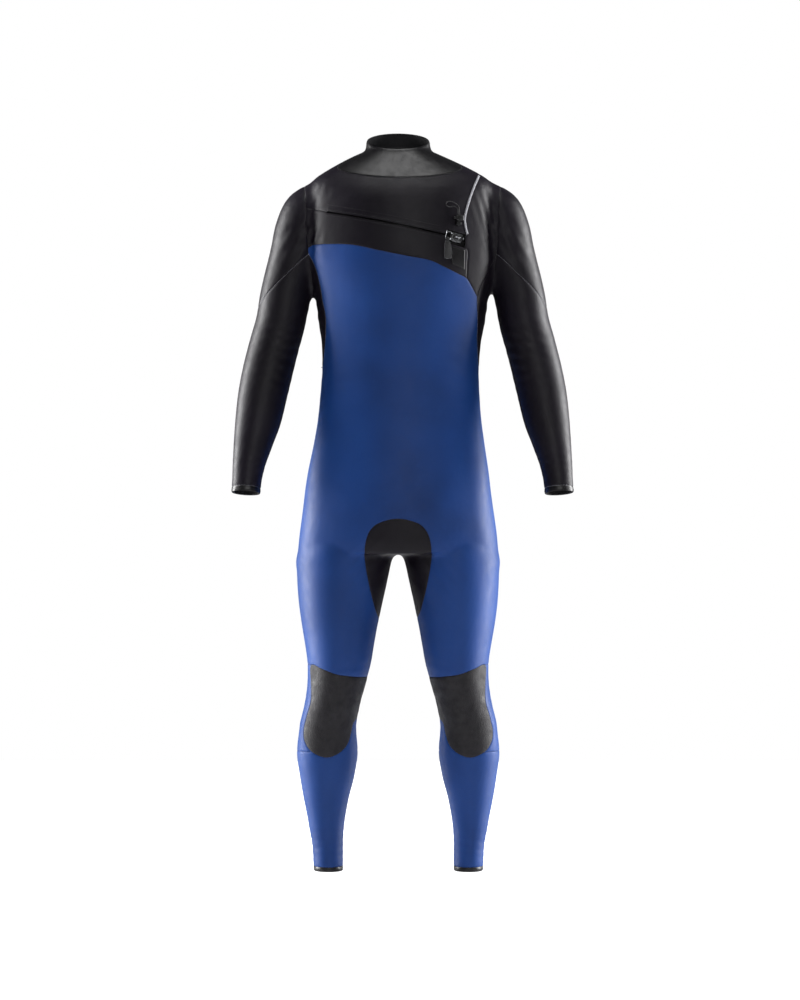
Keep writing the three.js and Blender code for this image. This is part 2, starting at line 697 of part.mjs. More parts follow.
// Two plates with turned-in edges, joined by the wedge that parts the teeth, and the bail on top.
function sliderBody() {
  const low = -plateTop - 2 * plateThickness - plateGap;
  const flange = 1.4;
  const plates = [-plateTop - plateThickness, low].map((base) => (
    sliderBlock([-halfSlider, -halfWidthSlider, base], [halfSlider, halfWidthSlider, base + plateThickness])
  ));
  const flanges = [-1, 1].flatMap((sign) => {
    const [w0, w1] = [sign * halfWidthSlider, sign * (halfWidthSlider - flange)].sort((a, b) => a - b);
    return [
      sliderBlock([-halfSlider, w0, -plateTop - plateThickness - 1.4], [halfSlider, w1, -plateTop - 1]),
      sliderBlock([-halfSlider, w0, low + 1], [halfSlider, w1, low + plateThickness + 1.4]),
    ];
  });
  const wedge = sliderBlock([6, -2.2, low + 1], [halfSlider, 2.2, -plateTop - 1]);
  const bail = sliderBlock([-6, -bailWidth / 2, -plateTop - 1], [4, bailWidth / 2, pivotHeight + 3.2]);
  const eye = sliderBlock([-4, -bailWidth, pivotHeight - 1.8], [2, bailWidth, pivotHeight + 1.6]);
  return union([...plates, ...flanges, wedge, bail.subtract(eye)]);
}
addPiece('zip_slider', sliderBody(), zincFinish);

const pin = pinSize / 2;
const ringStart = -14.6;

function puller() {
  const inner = bailWidth / 2 + 0.6;
  const outerEdge = 4;
  const h = pivotHeight;
  const bar = sliderBlock([-1 - pin, -outerEdge, h - pin], [-1 + pin, outerEdge, h + pin]);
  const cheeks = [-1, 1].map((sign) => {
    const [w0, w1] = [sign * inner, sign * outerEdge].sort((a, b) => a - b);
    return sliderBlock([-9, w0, h - pin], [-1 + pin, w1, h + pin]);
  });
  const plate = sliderBlock([-14, -outerEdge, h - pin], [-7.5, outerEdge, h + pin]);
  const eyeBlock = sliderBlock([-18.5, -outerEdge, h - 2.2], [-13, outerEdge, h + 2.2]);
  const hole = sliderBlock([-17, -2 * outerEdge, h - 1.3], [-14, 2 * outerEdge, h + 1.3]);
  return union([bar, ...cheeks, plate, eyeBlock]).subtract(hole);
}
addPiece('zip_puller', puller(), blackPlastic);

function pullRing() {
  const half = ringWidth / 2;
  const [low, high] = [pivotHeight - ringWire / 2, pivotHeight + ringWire / 2];
  const body = sliderBlock([ringStart - ringLength, -half, low], [ringStart, half, high]);
  const hole = sliderBlock(
    [ringStart - ringLength + ringWire, -half + ringWire, low - 1],
    [ringStart - ringWire, half - ringWire, high + 1],
  );
  return body.subtract(hole);
}
addPiece('pull_ring', pullRing(), zincFinish);

// The webbing tab: a sewn loop round the lower bar of the ring and a wide tail.
function pullTab() {
  const bar = -ringWidth / 2 + ringWire / 2;
  const [left, right] = [ringStart - ringLength + ringWire + 0.4, ringStart - ringWire - 2.8];
  const grip = ringWire / 2 + 0.6;
  const hang = new THREE.Matrix4().makeTranslation(0, bar, pivotHeight)
    .multiply(new THREE.Matrix4().makeRotationX(-tabLean));
  const place = slider.clone().multiply(hang);
  const loop = block([left, -grip - tabThickness, -grip - 1], [right, grip + 1, grip + 1], place);
  const hole = block([left - 1, -grip, -grip], [right + 1, grip, grip], place);
  const edge = -grip - 0.5;
  const outline = [
    [left, edge], [right, edge], [right + 7, edge - 8], [right + 14, edge - 34], [right - 2, edge - 38],
    [left - 1, edge - 12],
  ];
  const shape = new THREE.Shape(outline.map(([x, y]) => new THREE.Vector2(x, y)));
  const tail = new THREE.ExtrudeGeometry(shape, { depth: tabThickness, bevelEnabled: false });
  tail.translate(0, 0, -grip - 0.4);
  return loop.subtract(hole).add(solidFrom(tail.applyMatrix4(place)));
}
addPiece('pull_tab', pullTab(), webbing);

// ---- Drawcord and its lock ----------------------------------------------------------------

const lockZ = toHeight(lockTop) - lockHeight;
const lockPlace = chestFrame(lockX * girth, lockZ);
const lockBlock = (low, high) => block(low, high, lockPlace);
const slotHalf = cordSpacing / 2 + cordDiameter / 2 + clearance;
const slotDepth = cordDiameter / 2 + clearance;
const plungerRadius = 2.6;
const plungerTravel = 3;

// A passage for both runs of the cord, straight up through a block.
const cordPassage = (low, high, stretch = 0) => lockBlock(
  [-slotHalf - stretch, low, cordHeight - slotDepth], [slotHalf, high, cordHeight + slotDepth],
);

function lockBarrel(radius, from, to, sidesCount = 14) {
  const geometry = new THREE.CylinderGeometry(radius, radius, to - from, sidesCount);
  geometry.rotateZ(Math.PI / 2);
  geometry.translate((from + to) / 2, lockHeight / 2, cordHeight);
  return solidFrom(geometry.applyMatrix4(lockPlace));
}

const guide = lockBlock([-5, -9, overlayLift], [5, -2, cordHeight + 2.2]);
addPiece('cord_guide', guide.subtract(cordPassage(-10, 0)), blackPlastic);

const lockBody = lockBlock([-6, 0, overlayLift], [10, lockHeight, cordHeight + 4.2]);
const bore = lockBarrel(plungerRadius + clearance, -8, 8.6);
addPiece('cord_lock_body', cut(lockBody, [bore, cordPassage(-1, lockHeight + 1)]), blackPlastic);

const plunger = lockBarrel(plungerRadius, -10.5, 4.2);
const plungerPassage = cordPassage(-1, lockHeight + 1, plungerTravel);
addPiece('cord_lock_plunger', plunger.subtract(plungerPassage), blackPlastic);

function tube(points, radius, steps, sidesCount) {
  const shape = new THREE.Shape(Array.from({ length: sidesCount }, (_, i) => {
    const angle = (2 * Math.PI * i) / sidesCount;
    return new THREE.Vector2(radius * Math.cos(angle), radius * Math.sin(angle));
  }));
  const path = new THREE.CatmullRomCurve3(points, false, 'centripetal');
  return solidFrom(new THREE.ExtrudeGeometry(shape, { steps, extrudePath: path, bevelEnabled: false }));
}

function lockSpring() {
  const [turns, perTurn, radius] = [3, 9, 1.7];
  const points = Array.from({ length: turns * perTurn + 1 }, (_, i) => {
    const angle = (2 * Math.PI * i) / perTurn;
    const along = 4.9 + (3 * i) / (turns * perTurn);
    return new THREE.Vector3(
      along, lockHeight / 2 + radius * Math.cos(angle), cordHeight + radius * Math.sin(angle),
    ).applyMatrix4(lockPlace);
  });
  return tube(points, 0.35, turns * perTurn, 5);
}
addPiece('cord_lock_spring', lockSpring(), zincFinish);

// The route of the cord: along, up and out from the foot of the lock.
const cordRoute = [
  [-1.5, -7.5, 5], [-1.5, -2, 5], [-1.5, 5, 5], [-1.5, 12, 5], [-1.5, 19, 4.8], [-2.6, 24, 4.2],
  [-6.5, 27, 3.2], [-12, 27.4, 2.2], [-18, 26.6, 1.8], [-23.4, 28, 1.8], [-26, 31.5, 1.8],
  [-24.4, 35.2, 1.8], [-19.4, 37.2, 1.8], [-12, 36.4, 2], [-5, 33.4, 2.6], [-0.4, 29.4, 3.4],
  [1.3, 24.5, 4.3], [1.5, 19, 4.8], [1.5, 12, 5], [1.5, 5, 5], [1.5, -2, 5], [1.5, -7.5, 5],
].map(([along, up, out]) => new THREE.Vector3(along, up, out).applyMatrix4(lockPlace));
addPiece('drawcord_loop', tube(cordRoute, cordDiameter / 2, 36, 8), tapeCloth);

export default suit;
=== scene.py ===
import math

import bmesh
import bpy
import numpy as np
from mathutils import Matrix, Vector
from mathutils.bvhtree import BVHTree
from mathutils.kdtree import KDTree


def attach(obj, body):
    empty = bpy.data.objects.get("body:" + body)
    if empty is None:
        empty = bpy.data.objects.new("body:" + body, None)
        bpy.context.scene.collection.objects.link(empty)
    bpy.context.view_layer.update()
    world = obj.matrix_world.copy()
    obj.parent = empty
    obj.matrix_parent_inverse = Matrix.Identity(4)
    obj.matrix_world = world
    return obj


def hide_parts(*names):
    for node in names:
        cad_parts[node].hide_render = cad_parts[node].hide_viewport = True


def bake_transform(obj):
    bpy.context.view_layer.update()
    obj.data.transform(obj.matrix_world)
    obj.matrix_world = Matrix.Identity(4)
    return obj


# A chest-zip full wetsuit, standing as it is worn. The outer form is made as one smooth surface and
# then cut along the pattern lines into its panels. Pattern numbers are millimetres: X to the wearer's
# left, Y to the back, Z up from the neck rim. Meshes are made in metres.

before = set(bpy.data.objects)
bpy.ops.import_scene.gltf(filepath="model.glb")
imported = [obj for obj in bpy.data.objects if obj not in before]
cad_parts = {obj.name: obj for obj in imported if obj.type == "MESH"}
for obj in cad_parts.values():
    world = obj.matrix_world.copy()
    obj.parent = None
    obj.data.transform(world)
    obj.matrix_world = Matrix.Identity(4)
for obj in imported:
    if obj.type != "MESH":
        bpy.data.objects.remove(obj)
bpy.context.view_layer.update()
MM = 0.001

# ---- Pattern -----------------------------------------------------------------------------------

WALL = 4.0
LIMB_WALL = 3.0
SIDE_ROUND = 0.74
ARM_CENTRE = 7.0
CUFF_HEIGHT = 11.0
HEM = -1458.0
ANKLE_SEAM = HEM + 9.0
SIDE_SEAM_Y = 4.0
SHOULDER_SEAM_Y = 12.0
KNEE_TOP = -1046.0
KNEE_BOTTOM = -1219.0
HEM_REACH = 14.0

TORSO = [  # height, half width, front depth, back depth
    (-20, 64, 60, 58), (-38, 104, 70, 70), (-50, 128, 78, 80), (-62, 150, 86, 90), (-74, 170, 94, 100),
    (-88, 184, 103, 108), (-105, 189, 113, 114), (-130, 190, 120, 118), (-235, 190, 120, 118),
    (-270, 183, 119, 114), (-310, 174, 115, 109), (-362, 166.5, 109, 103), (-410, 158.5, 104, 98),
    (-458, 156.5, 101, 96), (-506, 159, 101, 98), (-554, 163, 103, 103), (-602, 170, 107, 110),
    (-665, 181, 113, 120), (-735, 190, 118, 127), (-794, 198, 116, 125), (-826, 201, 108, 116),
]
NECK = [  # height, half width, half depth, rise towards the back
    (14, 61, 60, 0.34), (0, 63, 62, 0.364), (-20, 66, 64, 0.4), (-45, 74, 68, 0.45), (-75, 84, 70, 0.5),
]
ARM = [  # distance from the middle, y, height, half width, half depth
    (138, 4, -122, 44, 50), (166, 5, -131, 50, 55), (188, 6, -150, 55, 58), (201, 7, -182, 55, 58),
    (211, 8, -222, 53, 56), (224, 9, -268, 51, 54), (235, 10, -314, 51, 53), (244, 11, -362, 50, 52),
    (257, 10, -410, 50, 51), (269, 5, -458, 50, 49), (279, -4, -506, 49, 46), (287, -15, -554, 46, 42),
    (297, -27, -602, 39, 37), (306, -38, -650, 32, 31), (310, -46, -688, 29, 27), (311, -49, -704, 29, 27),
]
LEG = [  # height, distance from the middle, half width, half depth, y
    (-770, 96, 92, 88, 4), (-800, 101, 95, 94, 4), (-838, 108, 96, 98, 4), (-862, 110, 92.5, 98, 4),
    (-886, 112, 89.5, 97, 4), (-934, 115.5, 82, 92, 4), (-982, 117, 73.5, 85, 3), (-1030, 117, 65.5, 77, 1),
    (-1078, 122, 59, 69, 0), (-1126, 132, 55.5, 62, 0), (-1174, 141, 57, 59, 5), (-1222, 142, 61, 60, 10),
    (-1270, 142.5, 54.5, 56, 11), (-1318, 144.5, 44.5, 48, 9), (-1366, 144, 36, 41, 6),
    (-1414, 141, 30.5, 36, 3), (-1458, 140, 29.5, 36, 1), (-1474, 139.7, 29.3, 36, 0.4),
]
SWAY = [(30, -3), (-30, -1), (-90, 5), (-330, 6), (-458, 3), (-700, -2), (-1474, -1)]

FLAP_EDGE = [(168, -40), (162, -65), (148, -100), (137, -132), (130, -160), (131, -178), (135, -194)]
FLAP_CORNER = [(136, -227), (135, -250), (134, -285)]
SLEEVE_LINE = [(180, -226), (197, -238), (237, -276), (257, -294), (277, -316), (310, -362)]
CHEST_EDGE = [
    (-186, -224), (-176, -215), (-166, -212), (-98, -215), (-38, -228), (16, -239), (60, -247), (88, -259),
    (116, -272), (134, -281), (145, -298), (155.5, -316),
]
SIDE_INSET = [(-358, 16), (-400, 8), (-430, 3.5), (-450, 0.4), (-475, -5)]
RIGHT_FRONT_TOP = [(-183, -222), (-166, -258), (-157, -294), (-152, -324)]
LEFT_FRONT_TOP = [(199, -222), (176, -268), (163, -292), (155, -316)]
BACK_TOP = [(190, -226), (174, -262), (158, -304)]
BACK_YOKE_EDGE = [(-171, -262), (-100, -288), (0, -298), (100, -288), (182, -262)]
ZIP_LEAD_END = [(-172, -142), (-200, -138)]
GUSSET_EDGE = [
    (28, -972), (40, -948), (48, -923), (58, -880), (66, -828), (61, -790), (46, -768), (22, -758), (0, -755),
]
PAD_EDGE = [
    (50, -1072), (63, -1071), (117, -1064), (150, -1053), (174, -1046), (174, -1082), (174, -1118),
    (183, -1150), (189, -1178), (186, -1200), (171, -1219), (143, -1229), (118, -1221), (101, -1205),
    (93, -1182), (88, -1162), (70, -1142),
]
PATCH = [(100, -218), (130, -225), (129, -264), (104, -254)]
WINDOW = [(-25, 10), (17, 10), (21, -17), (-19, -15)]


def smooth_rows(rows, at):
    """Rows of (key, values...) read at any key along a curve that never overshoots its rows."""
    table = np.array(sorted(rows), float)
    x, y = table[:, 0], table[:, 1:]
    step = np.diff(x)
    slope = np.diff(y, axis=0) / step[:, None]
    turn = np.zeros_like(y)
    before, after = slope[:-1], slope[1:]
    same = before * after > 0
    turn[1:-1] = np.where(same, 2 * before * after / np.where(same, before + after, 1), 0)
    turn[0], turn[-1] = slope[0], slope[-1]
    at = np.clip(np.atleast_1d(np.asarray(at, float)), x[0], x[-1])
    i = np.clip(np.searchsorted(x, at) - 1, 0, len(step) - 1)
    h = step[i]
    t = (at - x[i]) / h
    t, h = t[:, None], h[:, None]
    return (
        (1 + 2 * t) * (1 - t) ** 2 * y[i] + t * (1 - t) ** 2 * h * turn[i]
        + t * t * (3 - 2 * t) * y[i + 1] + t * t * (t - 1) * h * turn[i + 1]
    )


def sway(height):
    return float(np.interp(height, [r[0] for r in SWAY[::-1]], [r[1] for r in SWAY[::-1]]))


def chest_section(half_width, depth):
    """The wide arc over the chest and the corner arc that turns into the side."""
    corner = SIDE_ROUND * depth
    reach = half_width - corner
    radius = (reach ** 2 + depth ** 2 - corner ** 2) / (2 * (depth - corner))
    return corner, reach, radius, math.atan2(reach, radius - depth)


def half_section(half_width, depth, sign, wide=40, narrow=16):
    corner, reach, radius, turn = chest_section(half_width, depth)
    middle = np.linspace(-turn, turn, wide)
    side = np.linspace(turn, math.pi / 2, narrow)[1:]
    x = np.concatenate([
        -(reach + corner * np.sin(side[::-1])), radius * np.sin(middle), reach + corner * np.sin(side),
    ])
    y = np.concatenate([
        corner * np.cos(side[::-1]), radius * np.cos(middle) - radius + depth, corner * np.cos(side),
    ])
    return np.stack([x, sign * y], 1)


def torso_rings():
    heights = np.arange(TORSO[0][0], TORSO[-1][0] - 1, -6.0)
    rings = []
    for height, (half_width, front, back) in zip(heights, smooth_rows(TORSO, heights)):
        outline = np.concatenate([
            half_section(half_width, front, -1), half_section(half_width, back, 1)[::-1][1:-1],
        ])
        rings.append(np.column_stack([
            outline[:, 0] + sway(height), outline[:, 1], np.full(len(outline), height),
        ]))
    return rings


def ellipse(centre, side, rise, half_width, half_depth, count=56):
    turn = np.linspace(0, 2 * math.pi, count, endpoint=False)[:, None]
    return (
        np.asarray(centre) + half_width * np.cos(turn) * np.asarray(side)
        + half_depth * np.sin(turn) * np.asarray(rise)
    )


def neck_rings():
    heights = np.linspace(NECK[0][0], NECK[-1][0], 22)
    return [
        ellipse((sway(z), 0, z), (1, 0, 0), (0, 1, rise), width, depth)
        for z, (width, depth, rise) in zip(heights, smooth_rows(NECK, heights))
    ]


def arm_line(side, steps=120):
    """Centres, directions and sizes along one arm, from the shoulder to the hem."""
    rows = np.array(ARM, float)
    rows[:, 0] = side * rows[:, 0] + ARM_CENTRE
    run = np.concatenate([[0], np.cumsum(np.linalg.norm(np.diff(rows[:, :3], axis=0), axis=1))])
    at = np.linspace(0, run[-1], steps)
    values = smooth_rows(np.column_stack([run, rows]).tolist(), at)
    along = np.gradient(values[:, :3], axis=0)
    along /= np.linalg.norm(along, axis=1)[:, None]
    return values[:, :3], along, values[:, 3:]


def arm_rings(side):
    centres, along, sizes = arm_line(side)
    centres = np.vstack([centres, centres[-1] + along[-1] * HEM_REACH])
    along = np.vstack([along, along[-1]])
    sizes = np.vstack([sizes, sizes[-1]])
    rings = []
    for centre, direction, (half_width, half_depth) in zip(centres, along, sizes):
        across = np.cross((0, 1, 0), direction)
        across /= np.linalg.norm(across)
        rings.append(ellipse(centre, across, np.cross(direction, across), half_width, half_depth))
    return rings


def leg_rings(side):
    heights = np.linspace(LEG[0][0], LEG[-1][0], 130)
    return [
        ellipse((side * x + sway(z), y, z), (1, 0, 0), (0, 1, 0), half_width, half_depth)
        for z, (x, half_width, half_depth, y) in zip(heights, smooth_rows(LEG, heights))
    ]


def loft(rings):
    """A closed tube through rings with equally many points, its ends filled, faces outward."""
    count = len(rings[0])
    points = [tuple(p) for ring in rings for p in ring]
    faces = []
    for r in range(len(rings) - 1):
        for i in range(count):
            a, b = r * count + i, r * count + (i + 1) % count
            faces.append((a, b, b + count, a + count))
    faces.append(tuple(range(count))[::-1])
    last = (len(rings) - 1) * count
    faces.append(tuple(range(last, last + count)))
    return points, faces


# ---- Mesh helpers ------------------------------------------------------------------------------

def new_object(name, points, faces, smooth=True, scale=MM):
    mesh = bpy.data.meshes.new(name)
    corners = [tuple(float(c) * scale for c in p) for p in points]
    mesh.from_pydata(corners, [], [tuple(map(int, f)) for f in faces])
    mesh.validate()
    mesh.update()
    if smooth:
        mesh.shade_smooth()
    obj = bpy.data.objects.new(name, mesh)
    bpy.context.scene.collection.objects.link(obj)
    return obj


def outward(obj):
    """Turns the faces of a closed mesh outward."""
    mesh = bmesh.new()
    mesh.from_mesh(obj.data)
    bmesh.ops.remove_doubles(mesh, verts=mesh.verts, dist=1e-6)
    bmesh.ops.recalc_face_normals(mesh, faces=mesh.faces)
    if mesh.calc_volume(signed=True) < 0:
        bmesh.ops.reverse_faces(mesh, faces=mesh.faces)
    mesh.to_mesh(obj.data)
    mesh.free()
    return obj


def made_real(obj):
    """The object's mesh with its modifiers worked out, as a plain mesh."""
    bpy.context.view_layer.update()
    depsgraph = bpy.context.evaluated_depsgraph_get()
    mesh = bpy.data.meshes.new_from_object(obj.evaluated_get(depsgraph), depsgraph=depsgraph)
    obj.modifiers.clear()
    obj.data = mesh
    return obj


def arrays(obj):
    mesh = obj.data
    mesh.calc_loop_triangles()
    points = np.zeros(len(mesh.vertices) * 3)
    mesh.vertices.foreach_get("co", points)
    triangles = np.zeros(len(mesh.loop_triangles) * 3, np.int64)
    mesh.loop_triangles.foreach_get("vertices", triangles)
    return points.reshape(-1, 3), triangles.reshape(-1, 3)


def normals_of(points, triangles):
    a, b, c = (points[triangles[:, i]] for i in range(3))
    face = np.cross(b - a, c - a)
    total = np.zeros_like(points)
    for i in range(3):
        np.add.at(total, triangles[:, i], face)
    return total / np.maximum(np.linalg.norm(total, axis=1), 1e-9)[:, None]


def edge_pairs(triangles):
    pairs = np.vstack([triangles[:, [0, 1]], triangles[:, [1, 2]], triangles[:, [2, 0]]])
    return np.unique(np.sort(pairs, axis=1), axis=0)


def relaxed(points, triangles, rounds, weight=None, shrink=0.5, swell=-0.53):
    """Evens a surface out; a negative swell step keeps its volume."""
    pairs = edge_pairs(triangles)
    count = np.bincount(pairs.ravel(), minlength=len(points)).astype(float)[:, None]
    weight = 1.0 if weight is None else weight[:, None]
    for _ in range(rounds):
        for factor in (shrink, swell):
            if factor == 0:
                continue
            total = np.zeros_like(points)
            np.add.at(total, pairs[:, 0], points[pairs[:, 1]])
            np.add.at(total, pairs[:, 1], points[pairs[:, 0]])
            points = points + weight * factor * (total / np.maximum(count, 1) - points)
    return points


def suit_form(voxel=4.5):
    """The whole outside of the suit as one smooth surface."""
    points, faces = [], []
    limbs = [make(side) for side in (1, -1) for make in (arm_rings, leg_rings)]
    for rings in (torso_rings(), neck_rings(), *limbs):
        more, more_faces = loft(rings)
        tube = outward(new_object("tube", more, more_faces, scale=1.0))
        start = len(points)
        points += [tuple(v.co) for v in tube.data.vertices]
        faces += [tuple(start + i for i in f.vertices) for f in tube.data.polygons]
        bpy.data.objects.remove(tube)
    form = new_object("form", points, faces)
    remesh = form.modifiers.new("even", "REMESH")
    remesh.mode = "VOXEL"
    remesh.voxel_size = voxel * MM
    made_real(form)
    points, triangles = arrays(form)
    points = points / MM
    bpy.data.objects.remove(form)
    points = relaxed(points, triangles, 10)
    joins = [((sway(-45), 0, -50), 60, 0.6)]
    for s in (1, -1):
        joins += [((s * 172 + ARM_CENTRE, 5, -110), 70, 0.8), ((s * 182 + ARM_CENTRE, 5, -300), 46, 1.0)]
    joins.append(((-2, 0, -826), 46, 1.0))
    weight = np.zeros(len(points))
    for centre, reach, strength in joins:
        far = np.linalg.norm((points - centre) * (1, 0.6, 1), axis=1)
        weight = np.maximum(weight, strength * np.exp(-((far / reach) ** 2)))
    points = relaxed(points, triangles, 26, weight, swell=0)
    return relaxed(points, triangles, 4), triangles


def folds(points, normals):
    """Soft creases where the cloth bends: at the armholes, elbows, waist, crotch and knees."""
    # centre, direction across the folds, spacing, reach across, reach along, height
    marks = []
    for s in (1, -1):
        marks += [
            ((s * 176 + ARM_CENTRE, -50, -165), (s * 0.95, 0, 0.3), 17, 26, 60, 1.7),
            ((s * 200 + ARM_CENTRE, -40, -200), (s * 0.8, 0, 0.6), 21, 34, 55, 1.4),
            ((s * 196 + ARM_CENTRE, 50, -170), (s * 0.9, 0, 0.4), 20, 34, 60, 1.5),
            ((s * 236 + ARM_CENTRE, -30, -410), (s * 0.25, 0, 0.97), 19, 42, 42, 1.7),
            ((s * 250 + ARM_CENTRE, -35, -470), (s * -0.2, 0, 0.98), 22, 40, 40, 1.2),
            ((s * 300 + ARM_CENTRE, -60, -640), (0, 0, 1), 15, 30, 40, 0.9),
            ((s * 165, 0, -330), (s * 0.5, 0, 0.87), 24, 50, 40, 1.0),
            ((s * 120, -60, -470), (s * 0.3, 0, 0.95), 34, 70, 70, 0.7),
            ((s * 60, -80, -850), (s * 0.75, 0, 0.66), 22, 44, 60, 1.3),
            ((s * 60, 100, -860), (s * 0.4, 0, 0.92), 24, 50, 60, 1.5),
            ((s * 96, -40, -1060), (s * 0.2, 0, 0.98), 22, 40, 40, 1.1),
            ((s * 128, 60, -1120), (0, 0, 1), 20, 60, 55, 1.6),
            ((s * 141, 0, -1405), (s * 0.1, 0, 1), 16, 32, 60, 0.8),
            ((s * 90, 100, -250), (s * 0.5, 0, 0.87), 40, 80, 80, 0.8),
        ]
    moved = points.copy()
    for centre, across, spacing, wide, tall, height in marks:
        away = points - centre
        across = np.array(across) / np.linalg.norm(across)
        s = away @ across
        rest = away - s[:, None] * across
        t = np.linalg.norm(rest * (1, 0.8, 1), axis=1)
        bend = 3.5 * np.sin(rest[:, 0] / 23 + rest[:, 2] / 37 + rest[:, 1] / 29)
        wave = np.cos(2 * math.pi * (s + bend) / spacing)
        wave = np.where(wave > 0, np.abs(wave) ** 1.5, -np.abs(wave) ** 0.9)
        fade = np.exp(-((s / wide) ** 2) - (t / tall) ** 2)
        moved += normals * (height * wave * fade)[:, None] * 0.5
    x, y, z = points.T
    slow = np.sin(x / 41 + z / 63) * np.sin(z / 52 - y / 37) + 0.6 * np.sin(x / 23 - z / 31 + y / 19)
    quiet = zip_mask(points)
    moved = points + (moved - points) * (1 - quiet)[:, None]
    return moved + normals * (0.32 * slow * (1 - quiet))[:, None]


# ---- The zip's own frame -----------------------------------------------------------------------

SLOPE = math.radians(11.5)
ZIP_START, ZIP_END, SLIDER_AT = math.radians(-32.5), math.radians(27), math.radians(23.6)
CHEST_HALF_WIDTH, CHEST_DEPTH = 190, 120
CHEST_RADIUS = chest_section(CHEST_HALF_WIDTH, CHEST_DEPTH)[2]
ZIP_RADIUS = CHEST_RADIUS / math.cos(SLOPE) ** 2
ZIP_ACROSS = np.array([math.cos(SLOPE), 0, -math.sin(SLOPE)])
ZIP_UP = np.array([math.sin(SLOPE), 0, math.cos(SLOPE)])
ZIP_OUT = np.array([0, -1.0, 0])
ZIP_HEIGHT = -179.0
ZIP_CENTRE = np.array([sway(ZIP_HEIGHT), ZIP_RADIUS - CHEST_DEPTH, ZIP_HEIGHT])
CHAIN_DEPTH = 11.0


def zip_point(angle, depth=0.0, rise=0.0):
    """A point at an angle round the zip's arc, a depth below the chest and a rise above the zip line."""
    reach = ZIP_RADIUS - depth
    across, out = reach * math.sin(angle), reach * math.cos(angle)
    return ZIP_CENTRE + ZIP_ACROSS * across + ZIP_OUT * out + ZIP_UP * rise


def zip_spot(angle, along, rise):
    point = zip_point(angle + along / ZIP_RADIUS, 0, rise)
    return point[0], point[2]


def zip_place(points):
    """Angle along the zip and rise above it."""
    away = points - ZIP_CENTRE
    return np.arctan2(away @ ZIP_ACROSS, away @ ZIP_OUT), away @ ZIP_UP


def zip_mask(points):
    """1 on the chest round the zip, where the cloth lies flat, fading to 0."""
    angle, rise = zip_place(points)
    side = np.clip((np.abs(angle + 0.04) - 0.6) / 0.12, 0, 1)
    tall = np.clip((np.abs(rise) - 26) / 20, 0, 1)
    front = (points[:, 1] < 0).astype(float)
    return front * (1 - side) * (1 - tall)


def slider_frame():
    origin = zip_point(SLIDER_AT)
    out = origin - ZIP_CENTRE
    out /= np.linalg.norm(out)
    return frame_of(origin, np.cross(ZIP_UP, out), ZIP_UP, out)


def frame_of(origin, along, up, out):
    """A matrix from local millimetres (along, up, out) to the suit's millimetres."""
    matrix = Matrix.Identity(4)
    for column, axis in enumerate((along, up, out, origin)):
        for row in range(3):
            matrix[row][column] = float(axis[row])
    return matrix


def chest_frame(x, z):
    """Along, up and out on the chest at a width and a height."""
    angle = math.asin((x - sway(z)) / CHEST_RADIUS)
    out = (math.sin(angle), -math.cos(angle), 0)
    y = CHEST_RADIUS - CHEST_DEPTH - CHEST_RADIUS * math.cos(angle)
    return frame_of((x, y, z), (math.cos(angle), math.sin(angle), 0), (0, 0, 1), out)


# ---- Cutting the form into panels --------------------------------------------------------------

